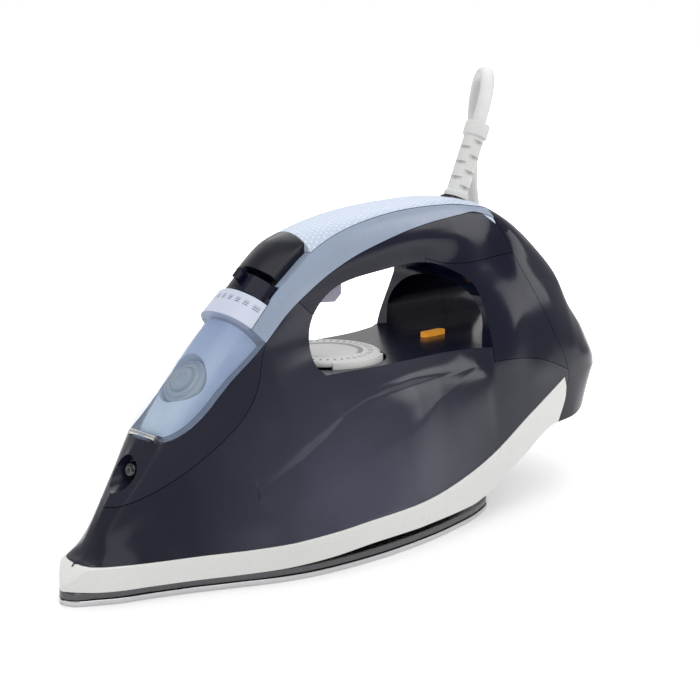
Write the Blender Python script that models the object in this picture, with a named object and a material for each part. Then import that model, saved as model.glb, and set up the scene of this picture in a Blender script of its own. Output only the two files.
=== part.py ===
"""Steam iron with a tunnel heel, built as separate fitted pieces.

Lengths below are millimetres measured from the tip of the nose (x), the centre
plane (y) and the ironing face (z).  put() turns them into metres and moves the
nose frame so the whole iron is centred on the origin.
"""
import math

import bmesh
import bpy
from mathutils import Matrix, Vector

# ---------------------------------------------------------------- driving sizes
LENGTH = 317.0            # nose tip to the back of the heel
SOLE_LENGTH = 236.0       # ironing plate, nose to straight rear edge
GAP = 0.3                 # clearance between neighbouring pieces
SOLE_THICK = 2.4
FLANGE_TOP = 5.9          # cast base rim
BOSS_TOP = 10.0           # cast base, raised middle
BOSS_INSET = 9.0
STEAM_HOLE_R = 1.5
DECK_Z = 84.0             # top deck between the front post and the heel
DIAL_X = 152.0
DIAL_R = 25.7
DIAL_TOP = 87.2
DIAL_GROOVE_R = 21.2      # pedestal radius left under the dial
DIAL_GROOVE_OUT = 28.6
TAB_BOTTOM = 77.4
TAB_HALF_ANGLE = 36.0
SHAFT_R = 3.0
TUNNEL_HALF = 33.0        # heel tunnel half width
TUNNEL_TOP = 115.0
RING_TILT = 43.0          # steam ring axis above the horizontal
RING_START = (86.0, 114.0)
RING_LEN = 13.6
DRUM_LEN = 10.2
DRUM_R = 15.4
DRUM_SWING = 11.6         # depth of the drum room behind its axis
RING_HALF = 14.4          # scale saddle half width, between the band prongs
AXIS_DEPTH = 15.5         # ring axis below the nose ridge
HUB_R = 6.0
HINGE_X = 45.0
HINGE_Z = 65.6
HINGE_PIN_R = 1.4
KNUCKLE_R = 3.6
PLUG_TILT = 46.0          # ridge slope at the filling hole
PLUG_X = 69.5
PLUG_Z = 84.0
PLUG_R = 10.3
FILL_R = 8.8
NOZZLE_X = 36.5            # open end of the spray nozzle
NOZZLE_Z = 51.6
NOZZLE_R = 3.8
NOZZLE_LEN = 8.0
BUTTON_HALF = 12.4
BUTTON_TRAVEL = 3.0
TRIGGER_X = 146.0
TRIGGER_HALF_X = 8.5
TRIGGER_HALF_Y = 8.0
TRIGGER_TRAVEL = 3.0
GUARD_X = 240.0
GUARD_Z = 151.5
GUARD_TILT = 24.5         # lean of the cord sleeve towards the back
GUARD_LEN = 40.0
GUARD_R = 5.4
LENS_X = 225.0
LENS_HALF = 5.5
CORD_R = 3.6
COIL_R = 42.0             # middle of the coiled lead
COIL_SIDE = 11.2          # half width of the coiled lead's section
COIL_TALL = 14.8
COIL_X = 262.0
COIL_Y = 104.0
PAD_R = 6.5
ROUTE = [(262.3, 1.3, 198.3), (268.4, 5, 205.2), (275, 10.9, 209.8), (281.6, 18.2, 211.5),
         (287.6, 26, 210.2), (293.1, 33, 205.8), (297.4, 38.7, 198.8), (300.1, 42.3, 189.9),
         (301, 43.6, 179), (300.4, 44.2, 164), (300.8, 44.2, 147), (304.5, 42.6, 124),
         (313, 40, 98), (319, 40, 68), (321.3, 42.6, 46), (321.6, 47.6, 30),
         (321.4, 56.5, 16.4), (321, 69.5, 7.6), (320.2, 86, 4), (318.7, 98, 4)]

# ------------------------------------------------- rails of the outer envelope
# Every rail is a list of (x, half width, height); the envelope is the loft
# through all of them, from the bottom centre round to the top centre.
OUTLINE = [(0.4, 0.9), (3, 6), (11, 11), (20, 16), (30, 19.3), (40, 23.2), (50, 27.2),
           (59, 31.5), (69, 36), (78, 40.4), (89, 44.6), (100, 47.8), (113, 50),
           (126, 51.2), (141, 51.8), (158, 51.3), (175, 49.8), (197, 46), (208, 43.5),
           (222, 38.5), (230, 34), (235, 26), (236, 18)]
BOTTOM = [(0.6, 0.9, 6.2), (3, 4.6, 6.2), (11, 12.6, 6.2), (20, 17.6, 6.2), (30, 21.2, 6.2),
          (50, 29, 6.2), (69, 37.8, 6.3), (89, 46.2, 6.8), (113, 51.6, 8.2),
          (133, 53.1, 9.5), (158, 53, 9.6), (175, 51.5, 9.7), (188, 50, 9.8),
          (203, 48, 10.2), (214, 47, 12.6), (240, 46, 25), (270, 44.2, 38.5),
          (285, 42.5, 39.2), (296, 39, 41), (306, 33, 45.5), (312, 26, 51), (316, 15, 57),
          (317, 7, 60)]
SKIRT_TOP = [(0.6, 1.4, 8.5), (3, 5.2, 11.4), (8, 10.6, 16.2), (20, 17.8, 16.4),
             (35, 23.6, 16.2), (50, 29.6, 16.3), (73, 40.6, 16.7), (92, 48.4, 17.6),
             (122, 53.2, 19.4), (159, 53.3, 20.6), (188, 50.4, 23.6), (218, 47.4, 31.6),
             (247, 46, 46.5), (275, 44.8, 61), (290, 43, 62), (300, 41, 62.5),
             (306, 38.5, 63), (311, 34, 63.5), (315, 25, 64), (317, 11, 64.5)]
LOWER = [(0.6, 1.2, 8.6), (3, 4.9, 11.6), (8, 8.8, 16.5), (12, 11, 17.4), (18, 13.5, 19.5),
         (35, 21.5, 24), (50, 27, 27), (85, 42.6, 33), (100, 46, 37), (125, 46.4, 44),
         (160, 46.4, 56), (190, 43, 65), (216, 42, 70), (240, 44.5, 66), (253, 45, 66),
         (270, 44.2, 68), (285, 43, 69), (293, 42, 69), (300, 40.5, 68.5), (306, 37.8, 68),
         (311, 33.5, 67), (315, 25, 66), (317, 11, 65.6)]
CREASE = [(0.6, 1.0, 8.7), (3, 4.4, 11.8), (8, 7, 16.7), (12, 8.6, 18), (18, 10.8, 22),
          (35, 18, 33), (50, 23, 42), (85, 37.5, 51), (100, 42, 57), (125, 43, 66),
          (160, 42.4, 74.6), (190, 39.6, 75.8), (216, 37.8, 77), (225, 41.6, 77),
          (240, 43.4, 78), (253, 42.6, 80), (270, 42, 81), (285, 41, 80), (293, 39.5, 78.5),
          (300, 37.5, 76.5), (306, 34.6, 74.5), (311, 30.4, 72), (315, 22.6, 69),
          (317, 10, 66.6)]
SHOULDER = [(0.6, 0.8, 8.8), (3, 3.7, 11.9), (8, 5.4, 16.9), (12, 6.4, 18.3), (18, 8, 24.6),
            (35, 14.6, 40), (50, 19, 55), (85, 27.5, 72), (100, 30, 78), (125, 30, 82.5),
            (160, 29, 86), (190, 29, 86.5), (216, 35, 86), (225, 39.2, 88), (240, 40.4, 92),
            (253, 39, 95), (270, 38.8, 94), (285, 37.5, 91), (293, 35.5, 88), (300, 33.5, 84.5),
            (306, 30.5, 81), (311, 26.4, 77), (315, 19.6, 72), (317, 8.6, 67.6)]
NECK = [(0.6, 0.7, 8.9), (3, 3.0, 12), (8, 4.2, 17), (12, 4.8, 18.5), (18, 6, 26.6),
        (35, 11.8, 46), (50, 16, 64), (85, 20.6, 90), (100, 21.4, 95), (125, 21, 96),
        (160, 20, 93), (190, 20, 94), (216, 27.4, 101), (225, 31.6, 106), (240, 33, 109),
        (253, 33.5, 110), (270, 34.5, 106), (285, 33, 101.5), (293, 31, 96.5),
        (300, 28.5, 91.5), (306, 25.6, 86.5), (311, 21.6, 81), (315, 16, 74.5), (317, 7, 68.4)]
GRIP_LOW = [(0.6, 0.6, 9), (3, 2.4, 12.1), (8, 3.2, 17), (12, 3.6, 18.6), (18, 4.6, 27.8),
            (35, 9.6, 49.5), (50, 13, 70), (85, 18.4, 99.5), (100, 19.6, 106), (125, 19.2, 116),
            (160, 18, 123), (190, 18, 126.5), (216, 20.6, 123), (225, 23, 123),
            (240, 25.2, 123), (253, 28, 124), (270, 29.5, 117), (285, 28.5, 111),
            (293, 26, 103.5), (300, 23, 97), (306, 20, 90.5), (311, 16.4, 84), (315, 12, 76.3),
            (317, 5.2, 69)]
GRIP_WIDE = [(0.6, 0.45, 9.1), (3, 1.7, 12.2), (8, 2.3, 17.1), (12, 2.6, 18.7), (18, 3.2, 28.5),
             (35, 6.8, 51.6), (50, 9.6, 73.6), (85, 15.4, 106.5), (100, 17.4, 115),
             (125, 19, 127), (160, 19.5, 134), (190, 19.5, 138), (216, 19.5, 138.5),
             (225, 19.2, 139), (240, 19.5, 138), (253, 21.5, 138), (270, 24, 128),
             (285, 22.5, 117.5), (293, 19.5, 108.6), (300, 16.5, 101), (306, 13.8, 93.3),
             (311, 11, 85.8), (315, 8, 77.4), (317, 3.5, 69.4)]
GRIP_EDGE = [(0.6, 0.25, 9.2), (3, 0.9, 12.3), (8, 1.2, 17.2), (12, 1.4, 18.8), (18, 1.7, 29),
             (35, 3.6, 53.4), (50, 5.2, 76), (85, 9, 111.6), (100, 12, 122.4), (125, 14.6, 139),
             (160, 14.6, 148.6), (190, 14, 151.6), (216, 13.4, 152.4), (225, 13, 152),
             (240, 12.5, 149.5), (253, 13, 145.5), (270, 15, 135), (285, 13, 121.5),
             (293, 10.5, 111.8), (300, 8.6, 103.3), (306, 7, 94.8), (311, 5.5, 86.8),
             (315, 4, 78), (317, 1.7, 69.6)]
TOP = [(0.6, 0, 9.2), (3, 0, 12.4), (8, 0, 17.3), (12, 0, 18.9), (18, 0, 29.3), (25, 0, 40.4),
       (32, 0, 50.4), (38, 0, 60), (45, 0, 69.2), (52, 0, 77.4), (58, 0, 86), (65, 0, 94),
       (72, 0, 101), (79, 0, 107.5), (86, 0, 114.2), (93, 0, 121), (100, 0, 127),
       (107, 0, 134.5), (114, 0, 140), (121, 0, 144), (136, 0, 147.4), (151, 0, 149.6),
       (166, 0, 151.8), (182, 0, 153.4), (200, 0, 154), (218, 0, 154), (231, 0, 153.2),
       (244, 0, 150.8), (253, 0, 147.5), (270, 0, 137), (285, 0, 122.7), (293, 0, 113),
       (300, 0, 104.2), (306, 0, 95.3), (311, 0, 87.1), (315, 0, 78.2), (317, 0, 69.7)]
RAILS = [BOTTOM, SKIRT_TOP, LOWER, CREASE, SHOULDER, NECK, GRIP_LOW, GRIP_WIDE, GRIP_EDGE]
STATIONS = [0.6, 3, 6, 9, 13, 18, 26, 35, 43, 50, 58, 66, 75, 85, 93, 100, 108, 116, 125,
            136, 148, 160, 175, 190, 203, 216, 225, 232, 240, 247, 253, 261, 270, 278, 285,
            293, 300, 306, 311, 315, 317]

# ---------------------------------------------------- parting lines, side view
HOLE = [(125.5, 84), (122.8, 88), (122.8, 96), (125, 107), (131, 115), (140, 120.6),
        (150, 123.2), (175, 125.6), (190, 126.6), (203, 125.4), (214, 121.6), (221, 117.4),
        (225, 112), (225, 84)]
SKIRT_ZONE = [(-5, -5), (-5, 5), (0.1, 9.4), (3, 12.6), (7.6, 16.7), (20, 16.9), (35, 16.7),
              (50, 16.8), (73, 17.2), (92, 18.1), (122, 19.9), (159, 21.1), (188, 24.2),
              (218, 32.2), (247, 47.1), (275.3, 61.6), (277.4, 56), (277, 50), (272.6, 40),
              (268, 30), (240, -5)]
REAR_ZONE = [(249, 170), (250, 146), (253, 127), (262, 105), (270, 86), (277, 72),
             (279.2, 62), (277.8, 56), (277.4, 50), (273, 40), (268.6, 30), (340, 30),
             (340, 170)]
BAND_LOW = [(96.7, 100.7), (112, 113.4), (122.3, 120), (134, 126.6), (143, 130.6), (154, 134.6),
            (170, 138.8), (187, 142.4), (204, 144.8), (226, 146.4), (238, 146.6),
            (256, 140.5)]
BAND_HIGH = [(256, 146), (240, 148.8), (225, 151), (206, 151.8), (188, 151.4), (172, 150),
             (159, 148), (147, 145.2), (136, 141.4), (126, 136.6), (117, 130), (108, 123),
             (99, 114.6), (92, 108)]
BUTTON_ZONE = [(103.6, 126.6), (106, 150), (127.4, 156), (127.4, 136.1), (117, 129.4),
               (108, 122.6)]
LID_FLOOR = [(45, 64.6), (50, 66), (56, 69), (61, 72.4), (67, 77.4), (73, 83), (80, 88.8),
             (88, 94.4), (97.4, 101.4)]
NOSE_SEAM = [(94.6, 95), (91.6, 88), (87, 80), (80, 72), (70, 64), (57, 55.4), (45, 48.4),
             (33, 42), (20, 37), (5, 35)]
ARCH_ZONE = [(200, 127.6), (213, 124), (230, 123.4), (256, 126.2), (270, 126), (290, 60),
             (276, 66.6), (262, 72.4), (248, 75.8), (236, 77), (225.2, 77.2), (225.2, 108),
             (214, 112), (200, 118)]
SHELL_ZONE = [(117.6, 117.8), (128, 108.6), (128, 100), (262, 100), (262, 170), (118, 170)]

SCENE = bpy.context.scene
for old in list(bpy.data.objects):
    bpy.data.objects.remove(old, do_unlink=True)

PARTS = bpy.data.collections.new("clothes_iron")
CUTTERS = bpy.data.collections.new("clothes_iron_cutters")
SCENE.collection.children.link(PARTS)
SCENE.collection.children.link(CUTTERS)


# -------------------------------------------------------------------- helpers
def put(x, y, z):
    """Millimetres in the nose frame to metres in the world."""
    return Vector(((x - LENGTH / 2) * 0.001, y * 0.001, z * 0.001))


def material(name, colour, rough, metal=0.0, alpha=1.0):
    """One Principled material."""
    mat = bpy.data.materials.new(name + "_mat")
    mat.use_nodes = True
    shader = mat.node_tree.nodes["Principled BSDF"]
    shader.inputs["Base Color"].default_value = (colour[0], colour[1], colour[2], 1.0)
    shader.inputs["Roughness"].default_value = rough
    shader.inputs["Metallic"].default_value = metal
    shader.inputs["Alpha"].default_value = alpha
    return mat


def finish(bm, name):
    """Clean a bmesh and return it as a linked cutter object."""
    bmesh.ops.remove_doubles(bm, verts=bm.verts, dist=1e-6)
    bmesh.ops.recalc_face_normals(bm, faces=bm.faces)
    bmesh.ops.triangulate(bm, faces=bm.faces)
    mesh = bpy.data.meshes.new(name)
    bm.to_mesh(mesh)
    bm.free()
    obj = bpy.data.objects.new(name, mesh)
    CUTTERS.objects.link(obj)
    obj.hide_render = True
    obj.display_type = "WIRE"
    return obj


def rail_at(rail, x):
    """Half width and height of a rail at station x, as a monotone cubic."""
    if x <= rail[0][0]:
        return rail[0][1:]
    if x >= rail[-1][0]:
        return rail[-1][1:]
    k = 0
    while rail[k + 1][0] < x:
        k += 1
    span = rail[k + 1][0] - rail[k][0]
    t = (x - rail[k][0]) / span
    out = []
    for axis in (1, 2):
        m0 = slope_at(rail, k, axis)
        m1 = slope_at(rail, k + 1, axis)
        a, b = rail[k][axis], rail[k + 1][axis]
        h00 = 2 * t ** 3 - 3 * t ** 2 + 1
        h10 = t ** 3 - 2 * t ** 2 + t
        h01 = 3 * t ** 2 - 2 * t ** 3
        h11 = t ** 3 - t ** 2
        out.append(h00 * a + h10 * span * m0 + h01 * b + h11 * span * m1)
    return out


def slope_at(rail, k, axis):
    """Slope of a rail at its own point k, flat where it turns."""
    if k == 0 or k == len(rail) - 1:
        a, b = (0, 1) if k == 0 else (-2, -1)
        return (rail[b][axis] - rail[a][axis]) / (rail[b][0] - rail[a][0])
    before = (rail[k][axis] - rail[k - 1][axis]) / (rail[k][0] - rail[k - 1][0])
    after = (rail[k + 1][axis] - rail[k][axis]) / (rail[k + 1][0] - rail[k][0])
    if before * after <= 0:
        return 0.0
    return 2 * before * after / (before + after)


def skin(rings, name):
    """Loft between equal-count rings of world points, with flat ends."""
    bm = bmesh.new()
    rows = [[bm.verts.new(p) for p in ring] for ring in rings]
    count = len(rows[0])
    for a, b in zip(rows, rows[1:]):
        for i in range(count):
            j = (i + 1) % count
            bm.faces.new((a[i], a[j], b[j], b[i]))
    bm.faces.new(rows[0][::-1])
    bm.faces.new(rows[-1])
    return finish(bm, name)


def envelope(name, shrink_y=1.0, shift=(0.0, 0.0)):
    """The whole outer form of the iron above the cast base."""
    rings = []
    for x in STATIONS:
        side = [rail_at(rail, x) for rail in RAILS]
        top = rail_at(TOP, x)[1]
        ring = [put(x + shift[0], y * shrink_y, z + shift[1]) for y, z in side]
        ring.append(put(x + shift[0], 0, top + shift[1]))
        ring += [put(x + shift[0], -y * shrink_y, z + shift[1]) for y, z in side[::-1]]
        rings.append(ring)
    return skin(rings, name)


def grow(points, distance):
    """Offset a closed side-view outline outwards with mitred corners."""
    area = sum(a[0] * b[1] - b[0] * a[1] for a, b in zip(points, points[1:] + points[:1]))
    sign = 1.0 if area > 0 else -1.0
    out = []
    count = len(points)
    for i in range(count):
        p, q, r = points[i - 1], points[i], points[(i + 1) % count]
        d1 = Vector((q[0] - p[0], q[1] - p[1])).normalized()
        d2 = Vector((r[0] - q[0], r[1] - q[1])).normalized()
        n1 = Vector((d1.y, -d1.x)) * sign
        n2 = Vector((d2.y, -d2.x)) * sign
        mid = n1 + n2
        scale = distance / max(0.35, mid.length_squared / 2)
        out.append((q[0] + mid.x * scale, q[1] + mid.y * scale))
    return out


def prism(points, name, half=90.0, middle=0.0):
    """Side-view outline extruded across the iron."""
    bm = bmesh.new()
    verts = [bm.verts.new(put(x, middle - half, z)) for x, z in points]
    face = bm.faces.new(verts)
    made = bmesh.ops.extrude_face_region(bm, geom=[face])
    moved = [v for v in made["geom"] if isinstance(v, bmesh.types.BMVert)]
    bmesh.ops.translate(bm, verts=moved, vec=Vector((0, 2 * half * 0.001, 0)))
    return finish(bm, name)


def stack(levels, name):
    """Plan outlines (inset, z) stacked into one block."""
    rings = []
    for inset, z in levels:
        rings.append([put(x, y, z) for x, y in plan(inset)])
    return skin(rings, name)


def half_width(x):
    """Half width of the ironing plate at x."""
    for a, b in zip(OUTLINE, OUTLINE[1:]):
        if x <= b[0]:
            return a[1] + (b[1] - a[1]) * max(0.0, x - a[0]) / (b[0] - a[0])
    return OUTLINE[-1][1]


def plan(inset):
    """Closed plan outline of the ironing plate, moved inwards by inset."""
    start = OUTLINE[0][0]
    while half_width(start) < inset + OUTLINE[0][1]:
        start += 0.5
    count = 30
    half = []
    for i in range(count + 1):
        t = i / count
        x = start + (SOLE_LENGTH - inset - start) * (1 - (1 - t) ** 1.5) ** 1.3
        half.append((x, half_width(x) - inset))
    return half + [(x, -y) for x, y in half[::-1]]


def box(x0, x1, y0, y1, z0, z1, name):
    """Axis-aligned block."""
    bm = bmesh.new()
    bmesh.ops.create_cube(bm, size=1.0)
    size = Vector((x1 - x0, y1 - y0, z1 - z0)) * 0.001
    bmesh.ops.scale(bm, vec=size, verts=bm.verts)
    bmesh.ops.translate(bm, vec=put((x0 + x1) / 2, (y0 + y1) / 2, (z0 + z1) / 2), verts=bm.verts)
    return finish(bm, name)


def rod(start, direction, length, radius, name, sides=28, end_radius=None):
    """Cylinder or cone from a start point along a direction."""
    top = radius if end_radius is None else end_radius
    bm = bmesh.new()
    bmesh.ops.create_cone(bm, cap_ends=True, segments=sides, radius1=radius * 0.001,
                          radius2=top * 0.001, depth=length * 0.001)
    turn = Vector(direction).normalized().to_track_quat("Z", "Y").to_matrix().to_4x4()
    centre = put(*start) + Vector(direction).normalized() * length * 0.0005
    bmesh.ops.transform(bm, matrix=Matrix.Translation(centre) @ turn, verts=bm.verts)
    return finish(bm, name)


def lathe(profile, base, direction, name, steps=32):
    """Turned piece: (radius, height) profile about an axis through base."""
    rings = []
    turn = Vector(direction).normalized().to_track_quat("Z", "Y").to_matrix()
    for radius, height in profile:
        ring = []
        for i in range(steps):
            a = 2 * math.pi * i / steps
            local = Vector((radius * math.cos(a), radius * math.sin(a), height)) * 0.001
            ring.append(put(*base) + turn @ local)
        rings.append(ring)
    return skin(rings, name)


def ring_profile(profile, base, direction, name, steps=40):
    """Turned ring: closed (radius, height) section about an axis."""
    bm = bmesh.new()
    turn = Vector(direction).normalized().to_track_quat("Z", "Y").to_matrix()
    rows = []
    for i in range(steps):
        a = 2 * math.pi * i / steps
        row = []
        for radius, height in profile:
            local = Vector((radius * math.cos(a), radius * math.sin(a), height)) * 0.001
            row.append(bm.verts.new(put(*base) + turn @ local))
        rows.append(row)
    count = len(profile)
    for i in range(steps):
        a, b = rows[i], rows[(i + 1) % steps]
        for j in range(count):
            k = (j + 1) % count
            bm.faces.new((a[j], b[j], b[k], a[k]))
    return finish(bm, name)


def tube(points, radius, name, resolution=2):
    """Solid round tube along a path, capped at both ends."""
    curve = bpy.data.curves.new(name, "CURVE")
    curve.dimensions = "3D"
    curve.bevel_depth = radius * 0.001
    curve.bevel_resolution = resolution
    curve.use_fill_caps = True
    spline = curve.splines.new("POLY")
    spline.points.add(len(points) - 1)
    for node, point in zip(spline.points, points):
        place = put(*point)
        node.co = (place.x, place.y, place.z, 1.0)
    carrier = bpy.data.objects.new(name + "_path", curve)
    CUTTERS.objects.link(carrier)
    graph = bpy.context.evaluated_depsgraph_get()
    graph.update()
    mesh = bpy.data.meshes.new_from_object(carrier.evaluated_get(graph))
    bpy.data.objects.remove(carrier, do_unlink=True)
    bm = bmesh.new()
    bm.from_mesh(mesh)
    bpy.data.meshes.remove(mesh)
    return finish(bm, name)


def combine(target, other, operation, keep=False):
    """Exact Boolean baked straight into the target mesh."""
    mod = target.modifiers.new("cut", "BOOLEAN")
    mod.solver = "EXACT"
    mod.operation = operation
    mod.object = other
    graph = bpy.context.evaluated_depsgraph_get()
    graph.update()
    mesh = bpy.data.meshes.new_from_object(target.evaluated_get(graph))
    target.modifiers.clear()
    old = target.data
    target.data = mesh
    bpy.data.meshes.remove(old)
    if not keep:
        bpy.data.objects.remove(other, do_unlink=True)
    return target


def cut(target, other, keep=False):
    """Remove other from target."""
    return combine(target, other, "DIFFERENCE", keep)


def common(target, other, keep=False):
    """Keep what target and other share."""
    return combine(target, other, "INTERSECT", keep)


def join(target, other, keep=False):
    """Add other to target."""
    return combine(target, other, "UNION", keep)


def copy(obj, name):
    """Independent copy of a working object."""
    bm = bmesh.new()
    bm.from_mesh(obj.data)
    return finish(bm, name)


def piece(obj, name, mat, origin=None):
    """Promote a working object to a named piece of the iron."""
    CUTTERS.objects.unlink(obj)
    PARTS.objects.link(obj)
    obj.hide_render = False
    obj.display_type = "TEXTURED"
    obj.name = name
    obj.data.name = name
    tidy(obj)
    if origin is not None:
        place = put(*origin)
        obj.data.transform(Matrix.Translation(-place))
        obj.location = place
    obj.data.materials.clear()
    obj.data.materials.append(mat)
    return obj


def tidy(obj):
    """Weld near-coincident points left by Booleans and keep the largest body."""
    bm = bmesh.new()
    bm.from_mesh(obj.data)
    bmesh.ops.remove_doubles(bm, verts=bm.verts, dist=4e-6)
    bmesh.ops.dissolve_degenerate(bm, dist=1e-6, edges=bm.edges)
    bmesh.ops.dissolve_limit(bm, angle_limit=math.radians(0.3), verts=bm.verts, edges=bm.edges)
    keep = largest_body(bm)
    loose = [f for f in bm.faces if f not in keep]
    bmesh.ops.delete(bm, geom=loose, context="FACES")
    bmesh.ops.recalc_face_normals(bm, faces=bm.faces)
    bm.to_mesh(obj.data)
    bm.free()


def largest_body(bm):
    """Faces of the connected body with the most faces."""
    left = set(bm.faces)
    best = set()
    while left:
        seed = next(iter(left))
        found = {seed}
        todo = [seed]
        while todo:
            face = todo.pop()
            for edge in face.edges:
                for other in edge.link_faces:
                    if other not in found:
                        found.add(other)
                        todo.append(other)
        left -= found
        if len(found) > len(best):
            best = found
    return best


def slab(s0, s1, p0, p1):
    """Side-view rectangle in the steam ring's own axes."""
    ax, pe = ring_axes()
    corners = [(s0, p0), (s1, p0), (s1, p1), (s0, p1)]
    return [(RING_START[0] + s * ax[0] + p * pe[0], RING_START[1] + s * ax[1] + p * pe[1])
            for s, p in corners]


def ring_axes():
    """Unit vectors along and across the steam ring axis, side view."""
    a = math.radians(RING_TILT)
    return (math.cos(a), math.sin(a)), (math.sin(a), -math.cos(a))


def on_ring(s, p):
    """Point s along the ring axis and p below the nose ridge."""
    ax, pe = ring_axes()
    return (RING_START[0] + s * ax[0] + p * pe[0], 0.0,
            RING_START[1] + s * ax[1] + p * pe[1])


WHITE = material("skirt_white", (0.82, 0.82, 0.78), 0.35)
DARK = material("dark_shell", (0.02, 0.024, 0.04), 0.12)
SMOKE = material("smoke_tank", (0.06, 0.065, 0.085), 0.1)
BAND = material("ice_blue", (0.38, 0.46, 0.56), 0.3)
PALE = material("pale_blue", (0.66, 0.72, 0.82), 0.45)
CLEAR = material("blue_clear", (0.45, 0.58, 0.8), 0.05, 0.0, 0.45)
SILICONE = material("silicone", (0.55, 0.6, 0.55), 0.3)
STEEL = material("steel", (0.6, 0.6, 0.6), 0.25, 1.0)
ALLOY = material("cast_alloy", (0.45, 0.45, 0.45), 0.5, 1.0)
SOLE = material("sole_coating", (0.1, 0.1, 0.1), 0.25, 0.6)
BLACK = material("black_plastic", (0.01, 0.01, 0.012), 0.3)
AMBER = material("amber_lens", (0.8, 0.4, 0.08), 0.1)
RUBBER = material("rubber_black", (0.02, 0.02, 0.02), 0.8)
LILAC = material("lilac_plastic", (0.45, 0.42, 0.5), 0.2)
BRASS = material("brass_fit", (0.6, 0.45, 0.2), 0.3, 1.0)
CORD_WHITE = material("cord_white", (0.7, 0.7, 0.68), 0.5)


# ----------------------------------------------------------------- bottom stack
def build_sole():
    """Ironing plate with steam holes, cast base, cover, heater, fuse."""
    sole = stack([(0.9, 0), (0, 0.9), (0, SOLE_THICK)], "sole")
    spots = [(24, 0), (38, 9), (38, -9), (58, 17), (58, -17), (80, 27), (80, -27),
             (106, 35), (106, -35), (136, 38), (136, -38), (166, 36), (166, -36)]
    for x, y in spots:
        cut(sole, rod((x, y, -2), (0, 0, 1), 8, STEAM_HOLE_R, "hole", 10))
    piece(sole, "soleplate", SOLE)
    base = stack([(0.6, SOLE_THICK + GAP), (0.6, FLANGE_TOP), (BOSS_INSET, FLANGE_TOP + 0.1),
                  (BOSS_INSET + 1, BOSS_TOP)], "base")
    piece(base, "heating_base", ALLOY)
    cover = stack([(22, BOSS_TOP + GAP), (22, BOSS_TOP + 2.3)], "cover")
    common(cover, box(20, 130, -60, 60, 0, 40, "limit"))
    piece(cover, "steam_chamber_cover", STEEL)
    path = [(196, 28, 13.2), (150, 31, 13.2), (110, 28, 13.2), (80, 18, 13.2), (62, 9, 13.2),
            (56, 4, 13.2), (55, 0, 13.2), (56, -4, 13.2), (62, -9, 13.2), (80, -18, 13.2),
            (110, -28, 13.2), (150, -31, 13.2), (196, -28, 13.2)]
    return path


def build_base_fittings(path):
    """Tubular heater round the cover, fuse and thermostat."""
    heater = tube(path, 2.6, "heater", 3)
    cover = bpy.data.objects["steam_chamber_cover"]
    trim = tube(path, 2.6 + GAP, "heater_room", 3)
    cut(cover, trim)
    tidy(cover)
    piece(heater, "heating_element", STEEL)
    piece(rod((180, -10, BOSS_TOP + GAP + 3), (0, 1, 0), 20, 3, "fuse"), "thermal_fuse", BRASS)
    stat = box(139, 165, -11, 11, BOSS_TOP + GAP, 24, "stat")
    join(stat, rod((DIAL_X, 0, 23), (0, 0, 1), 6, 6.5, "neck"))
    piece(stat, "thermostat", STEEL)


# -------------------------------------------------------------------- envelope
def hollow_envelope():
    """Envelope with the handle opening and the heel tunnel cut out."""
    form = envelope("form")
    cut(form, prism(HOLE, "hand_gap"))
    arc = []
    for i in range(17):
        a = math.pi * i / 16
        arc.append((TUNNEL_HALF * math.cos(a),
                    DECK_Z + 9 + (TUNNEL_TOP - DECK_Z - 9) * math.sin(a)))
    section = [(TUNNEL_HALF, DECK_Z)] + arc + [(-TUNNEL_HALF, DECK_Z)]
    rings = [[put(x, y, z) for y, z in section] for x in (222.0, 340.0)]
    cut(form, skin(rings, "tunnel"))
    return form


def take(form, zone, name, mat, origin=None):
    """Split a side-view zone off the form as a named piece."""
    part = copy(form, name)
    common(part, prism(zone, "zone"))
    cut(form, prism(grow(zone, GAP), "zone_gap"))
    return piece(part, name, mat, origin)


def counterbore(target, start, direction, radius, name):
    """Room for a round fitting, from its inner face outwards."""
    cut(target, rod(start, direction, 30, radius + GAP, name))


def build_shells():
    """Skirt, tank, nose cover, door, ring, band, grip, heel pieces."""
    form = hollow_envelope()
    rear = take(form, REAR_ZONE, "rear_cover", DARK)
    skirt = take(form, SKIRT_ZONE, "skirt", WHITE)
    cut(skirt, stack([(BOSS_INSET - 0.9, -5), (BOSS_INSET - 0.9, 90)], "skirt_room"))
    build_ring(form)
    lid_zone = LID_FLOOR[::-1] + [(HINGE_X - 3, HINGE_Z - 0.6), (30, 80), (60, 130)]
    lid_zone = lid_zone + [(RING_START[0] - 0.682 * 8, RING_START[1] + 0.731 * 8)]
    lid_zone = lid_zone + [RING_START]
    lid = copy(form, "lid")
    common(lid, prism(lid_zone, "zone"))
    cut(form, prism(grow(lid_zone, GAP), "zone_gap"))
    build_door(lid, form)
    nose_zone = [(97.4, 101.4)] + NOSE_SEAM + [(5, 118), (86, 118), (88, 112)]
    nose = copy(form, "nose")
    common(nose, prism(nose_zone, "zone"))
    cut(form, prism(grow(nose_zone, GAP), "zone_gap"))
    build_handle(form)
    build_tank(form, nose)
    build_heel(rear)


def drum_section(radius):
    """U-shaped room for the drum: round below its axis, open in front."""
    stop = math.asin(DRUM_SWING / radius)
    points = [(-30, -radius)]
    for i in range(9):
        t = stop * i / 8
        points.append((AXIS_DEPTH + radius * math.sin(t), -radius * math.cos(t)))
    return points + [(p, -y) for p, y in points[::-1]]


def across(section, s0, s1, name):
    """Section of (depth, y) points drawn out along the ring axis."""
    rings = []
    for s in (s0, s1):
        ring = []
        for p, y in section:
            x, _, z = on_ring(s, p)
            ring.append(put(x, y, z))
        rings.append(ring)
    return skin(rings, name)


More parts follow.
